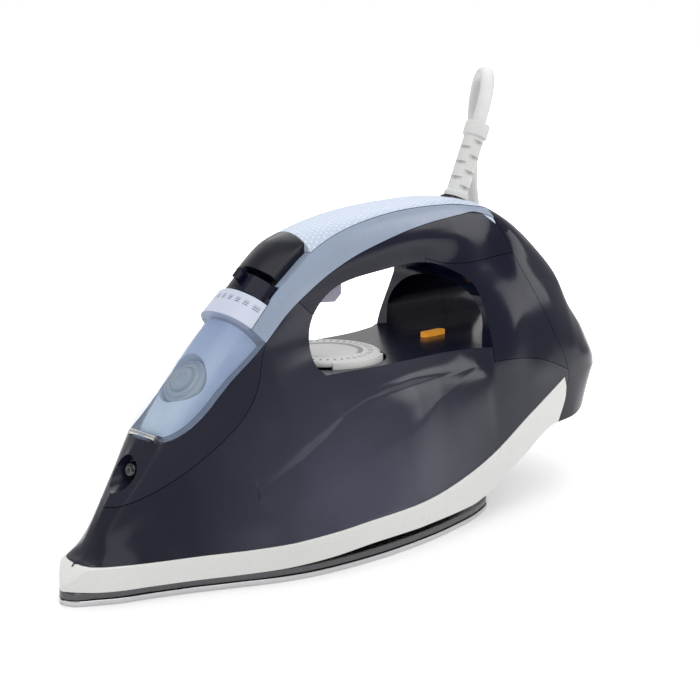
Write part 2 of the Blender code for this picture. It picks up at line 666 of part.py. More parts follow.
def build_ring(form):
    """Fixed scale saddle, turning drum with its pointer and valve rod."""
    ax, pe = ring_axes()
    axis = (ax[0], 0, ax[1])
    saddle = copy(form, "saddle")
    common(saddle, prism(slab(GAP, RING_LEN, -30, AXIS_DEPTH + 3), "zone", RING_HALF))
    cut(saddle, rod(on_ring(-3, AXIS_DEPTH), axis, 30, HUB_R + GAP, "hub_room"))
    total = RING_LEN + GAP + DRUM_LEN + GAP
    cut(form, across(drum_section(DRUM_R + GAP), RING_LEN - 0.05, total, "room"))
    cut(form, prism(slab(0, RING_LEN + GAP, -30, AXIS_DEPTH + 3 + GAP), "zone_gap",
                    RING_HALF + GAP))
    cut(form, rod(on_ring(-14, AXIS_DEPTH), axis, 50, HUB_R + GAP, "hub_room"))
    piece(saddle, "steam_scale_ring", PALE)
    drum = rod(on_ring(RING_LEN + GAP, AXIS_DEPTH), axis, DRUM_LEN, DRUM_R, "drum", 48)
    cut(drum, prism(slab(-5, 60, AXIS_DEPTH + 4, AXIS_DEPTH + 40), "back"))
    join(drum, rod(on_ring(1, AXIS_DEPTH), axis, RING_LEN + 4, HUB_R, "hub"))
    origin = on_ring(RING_LEN + GAP, AXIS_DEPTH)
    blade = prism(slab(RING_LEN + 4.6, RING_LEN + DRUM_LEN - 0.6, -3.4, 0.05), "blade", 1.5)
    drum_room = copy(drum, "drum_room")
    piece(drum, "steam_drum", DARK, origin)
    cut(blade, drum_room)
    raise_blade(blade)
    piece(blade, "steam_pointer", DARK, origin)
    stem = rod(on_ring(-12, AXIS_DEPTH), axis, 12.7, 2.6, "stem")
    piece(stem, "steam_valve_rod", BRASS, origin)


def raise_blade(blade):
    """Lift the pointer a clearance off the drum."""
    pe = ring_axes()[1]
    blade.data.transform(Matrix.Translation(Vector((-pe[0], 0, -pe[1])) * GAP * 0.001))


def build_door(lid, form):
    """Clear filling door, its plug and its pin."""
    inner = envelope("inner", 0.88, (2.4, -2.2))
    cut(lid, inner)
    knuckle = rod((HINGE_X, -17, HINGE_Z), (0, 1, 0), 34, KNUCKLE_R, "knuckle", 24)
    limit = envelope("limit", 0.97, (0.4, -0.4))
    common(knuckle, limit)
    pin_room = rod((HINGE_X, -20, HINGE_Z), (0, 1, 0), 40, HINGE_PIN_R + GAP, "pin_room", 20)
    front = prism([(HINGE_X, HINGE_Z), (HINGE_X, 40), (0, 40), (0, 120), (HINGE_X, 120)], "front")
    cut(lid, front)
    join(lid, knuckle)
    cut(lid, pin_room, True)
    cut(form, rod((HINGE_X, -40, HINGE_Z), (0, 1, 0), 80, KNUCKLE_R + GAP, "swing", 24))
    bpy.data.objects.remove(pin_room, do_unlink=True)
    hinge = (HINGE_X, 0, HINGE_Z)
    pin = rod((HINGE_X, -9, HINGE_Z), (0, 1, 0), 18, HINGE_PIN_R, "pin", 16)
    piece(pin, "door_hinge_pin", STEEL)
    a = math.radians(PLUG_TILT)
    out = (-math.sin(a), 0, math.cos(a))
    seat = (PLUG_X, 0, PLUG_Z)
    plug = lathe([(8.0, -5), (8.3, 0), (PLUG_R, 0.1), (PLUG_R, 2.6), (8.2, 4.2), (4.5, 5)],
                 seat, out, "plug", 36)
    piece(plug, "fill_plug", SILICONE, hinge)
    piece(lid, "fill_door", CLEAR, hinge)


def build_handle(form):
    """Light band, soft grip, spray button, trigger and lower handle shell."""
    band = take(form, BAND_LOW + BAND_HIGH, "side_band", BAND)
    button = copy(form, "button")
    common(button, prism(BUTTON_ZONE, "zone", BUTTON_HALF))
    press_room = across(drum_section(DRUM_R + GAP), RING_LEN - 0.05,
                        RING_LEN + GAP + DRUM_LEN + GAP, "press_room")
    press_room.data.transform(Matrix.Translation((0, 0, (BUTTON_TRAVEL + 0.2) * 0.001)))
    cut(button, press_room)
    above = [(103, 118), (103, 170), (127.7, 170), (127.7, 137.4)] + BAND_HIGH[9:12]
    cut(form, prism(above, "button_gap"))
    seat = (120, 0, 121.7)
    well = [(x, z - BUTTON_TRAVEL - 0.8) for x, z in BUTTON_ZONE]
    cut(band, prism(grow(well, GAP), "well", BUTTON_HALF + GAP))
    cut(band, rod(seat, (0, 0, 1), 30, 4.2 + GAP, "pump_bore"))
    piece(button, "spray_button", DARK)
    piece(rod((120, 0, 122), (0, 0, 1), 3.1, 4.2, "pump"), "spray_pump", BRASS)
    pad = copy(form, "pad")
    pad_zone = [(128, 137.6), (128, 170), (249, 170), (249, 140)] + BAND_HIGH[1:9]
    common(pad, prism(pad_zone, "zone"))
    cut(form, prism(grow(pad_zone, GAP), "pad_gap"))
    arch = take(form, ARCH_ZONE, "arch_frame", DARK)
    shell = copy(form, "shell")
    common(shell, prism(SHELL_ZONE, "zone"))
    cut(form, prism(grow(SHELL_ZONE, GAP), "shell_gap"))
    x0, x1 = TRIGGER_X - TRIGGER_HALF_X, TRIGGER_X + TRIGGER_HALF_X
    half = TRIGGER_HALF_Y
    roof = 124.8 + TRIGGER_TRAVEL
    cut(shell, box(x0 - GAP, x1 + GAP, -half - GAP, half + GAP, 100, roof + GAP, "pocket"))
    trigger = prism([(x0, 124.8), (x0, 117), (x0 + 3, 112.4), (x1 - 4, 111.6), (x1, 115),
                     (x1, 124.8)], "trigger", half)
    piece(trigger, "steam_trigger", LILAC)
    a = math.radians(GUARD_TILT)
    lean = (math.sin(a), 0, math.cos(a))
    start = (GUARD_X - 8 * math.sin(a), 0, GUARD_Z - 8 * math.cos(a))
    bush_room = rod(start, lean, 40, 7.5 + GAP, "bush_room")
    for target in (band, pad, shell, arch):
        cut(target, bush_room, True)
    bpy.data.objects.remove(bush_room, do_unlink=True)
    step = (start[0] + 0.3 * math.sin(a), 0, start[2] + 0.3 * math.cos(a))
    piece(rod(step, lean, 7.2, 7.5, "bushing"), "cord_bushing", BLACK)
    piece(pad, "grip_pad", PALE)
    piece(shell, "handle_shell", DARK)
    tidy(band)
    tidy(arch)


def tank_cavity():
    """Water space in the front of the tank."""
    rings = []
    for x in (34, 45, 58, 75, 92, 108, 118):
        w = rail_at(LOWER, x)
        c = rail_at(CREASE, x)
        s = rail_at(SHOULDER, x)
        low = rail_at(SKIRT_TOP, x)[1] + 3
        roof = min(s[1] - 4, 70, 28 + (x - 34) * 0.62 + 4)
        wide = w[0] - 5
        high = c[0] - 7
        ring = [(-wide, low), (wide, low), (wide, min(w[1], roof - 2)), (high, roof - 1),
                (high * 0.5, roof), (-high * 0.5, roof), (-high, roof - 1),
                (-wide, min(w[1], roof - 2))]
        rings.append([put(x, y, z) for y, z in ring])
    return skin(rings, "water")


def build_tank(form, nose):
    """Tank body with water space, dry chamber, dial seat and lens."""
    cut(form, tank_cavity())
    cut(form, box(127, 205, -32, 32, 5, 66, "dry_room"))
    a = math.radians(PLUG_TILT)
    inward = (math.sin(a), 0, -math.cos(a))
    outward = (-math.sin(a), 0, math.cos(a))
    mouth = (PLUG_X + 5 * outward[0], 0, PLUG_Z + 5 * outward[2])
    fill = rod(mouth, inward, 42, FILL_R, "fill", 32)
    cut(form, fill, True)
    cut(nose, fill)
    cut(nose, rod((PLUG_X - 0.3 * outward[0], 0, PLUG_Z - 0.3 * outward[2]), outward, 14,
                  PLUG_R + 1.0, "plug_room", 36))
    groove = ring_profile([(DIAL_GROOVE_R, TAB_BOTTOM - 1.4), (DIAL_GROOVE_OUT, TAB_BOTTOM - 1.4),
                           (DIAL_GROOVE_OUT, 100), (DIAL_GROOVE_R, 100)], (DIAL_X, 0, 0),
                          (0, 0, 1), "groove", 64)
    cut(form, groove)
    cut(form, rod((DIAL_X, 0, 50), (0, 0, 1), 50, SHAFT_R + GAP, "shaft_room"))
    build_lens(form)
    build_dial()
    aim = (-math.cos(0.2), 0, math.sin(0.2))
    heel = (NOZZLE_X - NOZZLE_LEN * aim[0], 0, NOZZLE_Z - NOZZLE_LEN * aim[2])
    spray_room = rod(heel, aim, 30, NOZZLE_R + GAP, "spray_room")
    cut(form, spray_room, True)
    cut(nose, spray_room)
    scoop = (NOZZLE_X - 3.4 * aim[0], 0, NOZZLE_Z - 3.4 * aim[2])
    cut(nose, rod(scoop, aim, 18, NOZZLE_R + 1.4, "scoop", 28, NOZZLE_R + 9))
    nozzle = lathe([(NOZZLE_R, 0.3), (NOZZLE_R, NOZZLE_LEN - 0.8), (2.8, NOZZLE_LEN),
                    (1.2, NOZZLE_LEN), (1.0, NOZZLE_LEN - 1)], heel, aim, "nozzle", 24)
    piece(nozzle, "spray_nozzle", BLACK)
    piece(nose, "nose_cover", DARK)
    piece(form, "tank_body", SMOKE)


def build_lens(form):
    """Amber pilot lens let into the deck."""
    def pill(radius, z0, z1, name):
        loop = []
        for i in range(16):
            a = math.pi * (i / 7 - 0.5) if i < 8 else math.pi * ((i - 8) / 7 + 0.5)
            end = LENS_X + LENS_HALF if i < 8 else LENS_X - LENS_HALF
            loop.append((end + radius * math.cos(a), radius * math.sin(a)))
        return skin([[put(x, y, z) for x, y in loop] for z in (z0, z1)], name)
    room = pill(2.3 + GAP, DECK_Z - 2.3, DECK_Z + 4, "lens_room")
    cut(form, room, True)
    cut(bpy.data.objects["arch_frame"], room)
    piece(pill(2.3, DECK_Z - 2, DECK_Z + 2.2, "lens"), "indicator_lens", AMBER)


def build_dial():
    """Temperature dial with its finger tab, and the thermostat shaft."""
    dial = lathe([(DIAL_R - 1.2, DECK_Z + GAP), (DIAL_R, DECK_Z + 0.8), (DIAL_R, DIAL_TOP - 0.7),
                  (DIAL_R - 0.8, DIAL_TOP)], (DIAL_X, 0, 0), (0, 0, 1), "dial", 64)
    outer, inner = [], []
    steps = 10
    for i in range(steps + 1):
        a = math.radians(-90 - TAB_HALF_ANGLE + 2 * TAB_HALF_ANGLE * i / steps)
        outer.append(((DIAL_R + 1.6) * math.cos(a), (DIAL_R + 1.6) * math.sin(a)))
        inner.append((22.6 * math.cos(a), 22.6 * math.sin(a)))
    loop = outer + inner[::-1]
    rings = [[put(DIAL_X + x, y, z) for x, y in loop] for z in (TAB_BOTTOM, DIAL_TOP - 0.4)]
    join(dial, skin(rings, "tab"))
    piece(dial, "temperature_dial", WHITE, (DIAL_X, 0, DIAL_TOP))
    shaft = rod((DIAL_X, 0, 29.4), (0, 0, 1), DECK_Z - 29.4, SHAFT_R, "shaft")
    piece(shaft, "thermostat_shaft", STEEL, (DIAL_X, 0, DIAL_TOP))


def build_heel(rear):
    """Wiring room, terminal block, pads and screws of the heel."""
    cut(rear, box(262, 304, -27, 27, 64, 80, "wiring_room"))
    piece(box(283, 300, -20, 20, 64.4, 75, "block"), "terminal_block", CORD_WHITE)
    down = math.radians(26)
    face = (math.cos(down), 0, math.sin(down))
    for y, side in ((17, "left"), (-17, "right")):
        start = (306.0, y, 69.0)
        counterbore(rear, start, face, PAD_R, "pad_room")
        seat = (start[0] + GAP * face[0], y, start[2] + GAP * face[2])
        piece(rod(seat, face, 9.4, PAD_R, "foot"), "heel_pad_" + side, RUBBER)
    slope = math.radians(46)
    face = (math.cos(slope), 0, math.sin(slope))
    for y, side in ((9, "left"), (-9, "right")):
        start = (270.0, y, 121.5)
        counterbore(rear, start, face, 2.8, "screw_room")
        seat = (start[0] + GAP * face[0], y, start[2] + GAP * face[2])
        piece(rod(seat, face, 2.4, 2.8, "screw", 16), "rear_screw_" + side, STEEL)
    tidy(rear)


def build_guard():
    """Bend sleeve of the lead."""
    a = math.radians(GUARD_TILT)
    lean = (math.sin(a), 0, math.cos(a))
    bore = CORD_R + GAP
    profile = [(bore, 0.2), (GUARD_R + 0.8, 0.2), (GUARD_R + 0.8, 3)]
    level = 3.0
    for i in range(7):
        profile += [(GUARD_R, level + 0.3), (GUARD_R - 0.9, level + 1.6),
                    (GUARD_R - 0.9, level + 2.6), (GUARD_R, level + 3.9)]
        level += 4.4
    profile += [(GUARD_R + 0.9, level + 0.6), (GUARD_R + 0.9, GUARD_LEN - 0.8),
                (GUARD_R + 0.2, GUARD_LEN), (bore, GUARD_LEN)]
    sleeve = ring_profile(profile, (GUARD_X, 0, GUARD_Z), lean, "sleeve", 24)
    piece(sleeve, "cord_guard", CORD_WHITE, (GUARD_X, 0, GUARD_Z))


def lead_path():
    """Centre line of the lead: up its sleeve, over and down behind the heel, to the coil."""
    a = math.radians(GUARD_TILT)
    base = Vector((GUARD_X, 0, GUARD_Z))
    lean = Vector((math.sin(a), 0, math.cos(a)))
    inside = [base + lean * t for t in (1.2, 12, 23, 34)]
    leave = base + lean * (GUARD_LEN + 2)
    return [tuple(p) for p in inside] + smooth([leave] + [Vector(p) for p in ROUTE], 2,
                                              leave - lean * 9)


def smooth(knots, parts, before):
    """Smooth curve through the knots, led in from the point before."""
    out = []
    ends = [before] + knots + [2 * knots[-1] - knots[-2]]
    for i in range(1, len(ends) - 2):
        p0, p1, p2, p3 = ends[i - 1], ends[i], ends[i + 1], ends[i + 2]
        for j in range(parts):
            t = j / parts
            out.append(0.5 * ((2 * p1) + (p2 - p0) * t + (2 * p0 - 5 * p1 + 4 * p2 - p3) * t * t
                              + (3 * p1 - p0 - 3 * p2 + p3) * t ** 3))
    out.append(knots[-1])
    return [tuple(p) for p in out]


def build_lead():
    """Lead, its coil and its plug."""
    piece(tube(lead_path(), CORD_R, "lead", 2), "cord", CORD_WHITE)
    side = COIL_SIDE
    low = 0.2
    section = [(COIL_R - side, low + 2.5), (COIL_R - side + 2.5, low), (COIL_R + side - 2.5, low),
               (COIL_R + side, low + 2.5), (COIL_R + side, low + COIL_TALL - 2.5),
               (COIL_R + side - 2.5, low + COIL_TALL), (COIL_R - side + 2.5, low + COIL_TALL),
               (COIL_R - side, low + COIL_TALL - 2.5)]
    coil = ring_profile(section, (COIL_X, COIL_Y, 0), (0, 0, 1), "coil", 40)
    piece(coil, "cord_coil", CORD_WHITE)
    across_y = COIL_Y - COIL_R
    rest = low + COIL_TALL + GAP + 13
    body = lathe([(6, 0), (10, 1.5), (13, 12), (13, 30), (12, 34)], (COIL_X - 16, across_y, rest),
                 (1, 0, 0), "plug", 24)
    piece(body, "plug_body", CORD_WHITE)
    for dy, name in ((7.6, "left"), (-7.6, "right")):
        pin = rod((COIL_X + 18.3, across_y + dy, rest), (1, 0, 0), 19, 2.4, "prong", 16)
        piece(pin, "plug_pin_" + name, STEEL)


PATH = build_sole()
build_base_fittings(PATH)
build_shells()
build_guard()
build_lead()
for left in list(CUTTERS.objects):
    bpy.data.objects.remove(left, do_unlink=True)
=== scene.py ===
"""Looks of the steam iron: smooth shells, procedural materials, lead, light and camera."""
import math

import bmesh
import bpy
from mathutils import Matrix, Vector
from mathutils.bvhtree import BVHTree


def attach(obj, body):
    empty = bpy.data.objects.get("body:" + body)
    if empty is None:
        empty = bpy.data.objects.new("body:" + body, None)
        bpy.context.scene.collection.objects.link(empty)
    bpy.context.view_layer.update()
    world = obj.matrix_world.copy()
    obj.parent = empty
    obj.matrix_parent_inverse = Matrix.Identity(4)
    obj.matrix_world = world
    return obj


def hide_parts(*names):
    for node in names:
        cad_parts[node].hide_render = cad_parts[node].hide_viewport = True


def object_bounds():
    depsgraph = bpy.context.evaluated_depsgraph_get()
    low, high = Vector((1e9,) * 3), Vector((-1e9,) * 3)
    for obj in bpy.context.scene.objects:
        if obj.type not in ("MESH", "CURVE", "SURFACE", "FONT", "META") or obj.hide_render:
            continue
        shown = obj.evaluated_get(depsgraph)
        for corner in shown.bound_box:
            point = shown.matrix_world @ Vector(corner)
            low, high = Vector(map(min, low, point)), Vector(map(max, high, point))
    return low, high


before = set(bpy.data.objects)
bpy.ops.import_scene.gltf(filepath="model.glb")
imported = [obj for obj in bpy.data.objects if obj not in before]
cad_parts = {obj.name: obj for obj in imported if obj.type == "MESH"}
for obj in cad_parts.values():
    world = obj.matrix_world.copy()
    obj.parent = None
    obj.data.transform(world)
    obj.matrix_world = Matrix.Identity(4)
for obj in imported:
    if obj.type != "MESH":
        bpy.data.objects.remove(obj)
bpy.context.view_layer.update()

SCENE = bpy.context.scene

# ------------------------------------------------------- sizes, mm, nose frame
LENGTH = 317.0            # nose tip to the back of the heel
SOLE_LENGTH = 236.0       # ironing plate, nose to straight rear edge
GAP = 0.3                 # clearance between neighbouring pieces
SOLE_THICK = 2.4
FLANGE_TOP = 5.9          # cast base rim
BOSS_TOP = 10.0           # cast base, raised middle
BOSS_INSET = 9.0
STEAM_HOLE_R = 1.5
DECK_Z = 84.0             # top deck between the front post and the heel
DIAL_X = 152.0
DIAL_R = 25.7
DIAL_TOP = 87.2
DIAL_GROOVE_R = 21.2      # pedestal radius left under the dial
DIAL_GROOVE_OUT = 28.6
TAB_BOTTOM = 77.4
TAB_HALF_ANGLE = 36.0
TUNNEL_HALF = 33.0        # heel tunnel half width
TUNNEL_TOP = 115.0
RING_TILT = 43.0          # steam ring axis above the horizontal
RING_START = (86.0, 114.0)
RING_LEN = 13.6
DRUM_LEN = 10.2
DRUM_R = 15.4
DRUM_SWING = 11.6         # depth of the drum room behind its axis
RING_HALF = 14.4          # scale saddle half width, between the band prongs
WING_DEPTH = 8.0          # sides of the scale ring down to the band
AXIS_DEPTH = 15.5         # ring axis below the nose ridge
HUB_R = 6.0
HINGE_X = 45.0
HINGE_Z = 65.6
HINGE_PIN_R = 1.4
KNUCKLE_R = 3.6
PLUG_TILT = 46.0          # ridge slope at the filling hole
PLUG_X = 69.5
PLUG_Z = 84.0
PLUG_R = 10.3
NOZZLE_X = 36.5            # open end of the spray nozzle
NOZZLE_Z = 51.6
NOZZLE_R = 3.8
NOZZLE_LEN = 8.0
BUTTON_HALF = 12.4
BUTTON_TRAVEL = 3.0
TRIGGER_X = 146.0
TRIGGER_HALF_X = 8.5
TRIGGER_HALF_Y = 8.0
TRIGGER_TRAVEL = 3.0
GUARD_X = 240.0
GUARD_Z = 151.5
GUARD_TILT = 24.5         # lean of the cord sleeve towards the back
GUARD_LEN = 40.0
GUARD_R = 5.4
BUSH_R = 7.5              # bushing below the sleeve
LENS_R = 2.3
LENS_X = 225.0
LENS_HALF = 5.5
CORD_R = 3.6
COIL_R = 42.0             # middle of the coiled lead
COIL_SIDE = 11.2          # half width of the coiled lead's section
COIL_TALL = 14.8
COIL_X = 262.0
COIL_Y = 104.0
PAD_R = 6.5
PLUG_LEVEL = 0.2 + COIL_TALL + GAP + 13    # axis of the plug, lying on the coil
ROUTE = [(262.3, 1.3, 198.3), (268.4, 5, 205.2), (275, 10.9, 209.8), (281.6, 18.2, 211.5),
         (287.6, 26, 210.2), (293.1, 33, 205.8), (297.4, 38.7, 198.8), (300.1, 42.3, 189.9),
         (301, 43.6, 179), (300.4, 44.2, 164), (300.8, 44.2, 147), (304.5, 42.6, 124),
         (313, 40, 98), (319, 40, 68), (321.3, 42.6, 46), (321.6, 47.6, 30),
         (321.4, 56.5, 16.4), (321, 69.5, 7.6), (320.2, 86, 4), (318.7, 98, 4)]

OUTLINE = [(0.4, 0.9), (3, 6), (11, 11), (20, 16), (30, 19.3), (40, 23.2), (50, 27.2),
           (59, 31.5), (69, 36), (78, 40.4), (89, 44.6), (100, 47.8), (113, 50),
           (126, 51.2), (141, 51.8), (158, 51.3), (175, 49.8), (197, 46), (208, 43.5),
           (222, 38.5), (230, 34), (235, 26), (236, 18)]
BOTTOM = [(0.6, 0.9, 6.2), (3, 4.6, 6.2), (11, 12.6, 6.2), (20, 17.6, 6.2), (30, 21.2, 6.2),
          (50, 29, 6.2), (69, 37.8, 6.3), (89, 46.2, 6.8), (113, 51.6, 8.2),
          (133, 53.1, 9.5), (158, 53, 9.6), (175, 51.5, 9.7), (188, 50, 9.8),
          (203, 48, 10.2), (214, 47, 12.6), (240, 46, 25), (270, 44.2, 38.5),
          (285, 42.5, 39.2), (296, 39, 41), (306, 33, 45.5), (312, 26, 51), (316, 15, 57),
          (317, 7, 60)]
SKIRT_TOP = [(0.6, 1.4, 8.5), (3, 5.2, 11.4), (8, 10.6, 16.2), (20, 17.8, 16.4),
             (35, 23.6, 16.2), (50, 29.6, 16.3), (73, 40.6, 16.7), (92, 48.4, 17.6),
             (122, 53.2, 19.4), (159, 53.3, 20.6), (188, 50.4, 23.6), (218, 47.4, 31.6),
             (247, 46, 46.5), (275, 44.8, 61), (290, 43, 62), (300, 41, 62.5),
             (306, 38.5, 63), (311, 34, 63.5), (315, 25, 64), (317, 11, 64.5)]
LOWER = [(0.6, 1.2, 8.6), (3, 4.9, 11.6), (8, 8.8, 16.5), (12, 11, 17.4), (18, 13.5, 19.5),
         (35, 21.5, 24), (50, 27, 27), (85, 42.6, 33), (100, 46, 37), (125, 46.4, 44),
         (160, 46.4, 56), (190, 43, 65), (216, 42, 70), (240, 44.5, 66), (253, 45, 66),
         (270, 44.2, 68), (285, 43, 69), (293, 42, 69), (300, 40.5, 68.5), (306, 37.8, 68),
         (311, 33.5, 67), (315, 25, 66), (317, 11, 65.6)]
STATIONS = (0.6, 3, 8, 12, 18, 35, 50, 85, 100, 125, 160, 190, 216, 225, 240, 253, 270, 285, 293,
            300, 306, 311, 315, 317)


def shared(points):
    """Rail through (half width, height) points at the shared stations."""
    return [(x, *point) for x, point in zip(STATIONS, points)]


CREASE = shared([(1.0, 8.7), (4.4, 11.8), (7, 16.7), (8.6, 18), (10.8, 22), (18, 33), (23, 42),
                 (37.5, 51), (42, 57), (43, 66), (42.4, 74.6), (39.6, 75.8), (37.8, 77),
                 (41.6, 77), (43.4, 78), (42.6, 80), (42, 81), (41, 80), (39.5, 78.5),
                 (37.5, 76.5), (34.6, 74.5), (30.4, 72), (22.6, 69), (10, 66.6)])
SHOULDER = shared([(0.8, 8.8), (3.7, 11.9), (5.4, 16.9), (6.4, 18.3), (8, 24.6), (14.6, 40),
                   (19, 55), (27.5, 72), (30, 78), (30, 82.5), (29, 86), (29, 86.5), (35, 86),
                   (39.2, 88), (40.4, 92), (39, 95), (38.8, 94), (37.5, 91), (35.5, 88),
                   (33.5, 84.5), (30.5, 81), (26.4, 77), (19.6, 72), (8.6, 67.6)])
NECK = shared([(0.7, 8.9), (3.0, 12), (4.2, 17), (4.8, 18.5), (6, 26.6), (11.8, 46), (16, 64),
               (20.6, 90), (21.4, 95), (21, 96), (20, 93), (20, 94), (27.4, 101), (31.6, 106),
               (33, 109), (33.5, 110), (34.5, 106), (33, 101.5), (31, 96.5), (28.5, 91.5),
               (25.6, 86.5), (21.6, 81), (16, 74.5), (7, 68.4)])
GRIP_LOW = shared([(0.6, 9), (2.4, 12.1), (3.2, 17), (3.6, 18.6), (4.6, 27.8), (9.6, 49.5),
                   (13, 70), (18.4, 99.5), (19.6, 106), (19.2, 116), (18, 123), (18, 126.5),
                   (20.6, 123), (23, 123), (25.2, 123), (28, 124), (29.5, 117), (28.5, 111),
                   (26, 103.5), (23, 97), (20, 90.5), (16.4, 84), (12, 76.3), (5.2, 69)])
GRIP_WIDE = shared([(0.45, 9.1), (1.7, 12.2), (2.3, 17.1), (2.6, 18.7), (3.2, 28.5), (6.8, 51.6),
                    (9.6, 73.6), (15.4, 106.5), (17.4, 115), (19, 127), (19.5, 134), (19.5, 138),
                    (19.5, 138.5), (19.2, 139), (19.5, 138), (21.5, 138), (24, 128),
                    (22.5, 117.5), (19.5, 108.6), (16.5, 101), (13.8, 93.3), (11, 85.8),
                    (8, 77.4), (3.5, 69.4)])
GRIP_EDGE = shared([(0.25, 9.2), (0.9, 12.3), (1.2, 17.2), (1.4, 18.8), (1.7, 29), (3.6, 53.4),
                    (5.2, 76), (9, 111.6), (12, 122.4), (14.6, 139), (14.6, 148.6), (14, 151.6),
                    (13.4, 152.4), (13, 152), (12.5, 149.5), (13, 145.5), (15, 135), (13, 121.5),
                    (10.5, 111.8), (8.6, 103.3), (7, 94.8), (5.5, 86.8), (4, 78), (1.7, 69.6)])
TOP = [(0.6, 0, 9.2), (3, 0, 12.4), (8, 0, 17.3), (12, 0, 18.9), (18, 0, 29.3), (25, 0, 40.4),
       (32, 0, 50.4), (38, 0, 60), (45, 0, 69.2), (52, 0, 77.4), (58, 0, 86), (65, 0, 94),
       (72, 0, 101), (79, 0, 107.5), (86, 0, 114.2), (93, 0, 121), (100, 0, 127),
       (107, 0, 134.5), (114, 0, 140), (121, 0, 144), (136, 0, 147.4), (151, 0, 149.6),
       (166, 0, 151.8), (182, 0, 153.4), (200, 0, 154), (218, 0, 154), (231, 0, 153.2),
       (244, 0, 150.8), (253, 0, 147.5), (270, 0, 137), (285, 0, 122.7), (293, 0, 113),
       (300, 0, 104.2), (306, 0, 95.3), (311, 0, 87.1), (315, 0, 78.2), (317, 0, 69.7)]
RAILS = [BOTTOM, SKIRT_TOP, LOWER, CREASE, SHOULDER, NECK, GRIP_LOW, GRIP_WIDE, GRIP_EDGE]

HOLE = [(125.5, 84), (122.8, 88), (122.8, 96), (125, 107), (131, 115), (140, 120.6),
        (150, 123.2), (175, 125.6), (190, 126.6), (203, 125.4), (214, 121.6), (221, 117.4),
        (225, 112), (225, 84)]
SKIRT_ZONE = [(-5, -5), (-5, 5), (0.1, 9.4), (3, 12.6), (7.6, 16.7), (20, 16.9), (35, 16.7),
              (50, 16.8), (73, 17.2), (92, 18.1), (122, 19.9), (159, 21.1), (188, 24.2),
              (218, 32.2), (247, 47.1), (275.3, 61.6), (277.4, 56), (277, 50), (272.6, 40),
              (268, 30), (240, -5)]
REAR_ZONE = [(249, 170), (250, 146), (253, 127), (262, 105), (270, 86), (277, 72),
             (279.2, 62), (277.8, 56), (277.4, 50), (273, 40), (268.6, 30), (340, 30),
             (340, 170)]
BAND_LOW = [(96.7, 100.7), (112, 113.4), (122.3, 120), (134, 126.6), (143, 130.6), (154, 134.6),
            (170, 138.8), (187, 142.4), (204, 144.8), (226, 146.4), (238, 146.6),
            (256, 140.5)]
BAND_HIGH = [(256, 146), (240, 148.8), (225, 151), (206, 151.8), (188, 151.4), (172, 150),
             (159, 148), (147, 145.2), (136, 141.4), (126, 136.6), (117, 130), (108, 123),
             (99, 114.6), (92, 108)]
BUTTON_ZONE = [(103.6, 126.6), (106, 150), (127.4, 156), (127.4, 136.1), (117, 129.4),
               (108, 122.6)]
LID_FLOOR = [(45, 64.6), (50, 66), (56, 69), (61, 72.4), (67, 77.4), (73, 83), (80, 88.8),
             (88, 94.4), (97.4, 101.4)]
NOSE_SEAM = [(94.6, 95), (91.6, 88), (87, 80), (80, 72), (70, 64), (57, 55.4), (45, 48.4),
             (33, 42), (20, 37), (5, 35)]
ARCH_ZONE = [(200, 127.6), (213, 124), (230, 123.4), (256, 126.2), (270, 126), (290, 60),
             (276, 66.6), (262, 72.4), (248, 75.8), (236, 77), (225.2, 77.2), (225.2, 108),
             (214, 112), (200, 118)]
SHELL_ZONE = [(117.6, 117.8), (128, 108.6), (128, 100), (262, 100), (262, 170), (118, 170)]


def put(x, y, z):
    """Millimetres in the nose frame to metres in the world."""
    return Vector(((x - LENGTH / 2) * 0.001, y * 0.001, z * 0.001))


def tint(red, green, blue):
    """Colour of 0 to 255 values as the shader wants it."""
    out = []
    for value in (red, green, blue):
        c = value / 255
        out.append(c / 12.92 if c <= 0.04045 else ((c + 0.055) / 1.055) ** 2.4)
    return (out[0], out[1], out[2], 1.0)


# --------------------------------------------------------------------- camera
def build_camera():
    """Camera at three quarters from the front left."""
    azimuth, elevation, distance = math.radians(-43.5), math.radians(12.3), 0.78
    back = Vector((math.sin(azimuth) * math.cos(elevation),
                   -math.cos(azimuth) * math.cos(elevation), math.sin(elevation)))
    right = Vector((math.cos(azimuth), math.sin(azimuth), 0))
    data = bpy.data.cameras.new("camera")
    camera = bpy.data.objects.new("camera", data)
    SCENE.collection.objects.link(camera)
    place = Matrix((right, back.cross(right), back)).transposed().to_4x4()
    place.translation = put(167.7, 0, 84.8) + back * distance
    camera.matrix_world = place
    data.sensor_width = 36
    data.lens = 83.76
    data.clip_start = 0.01
    SCENE.camera = camera


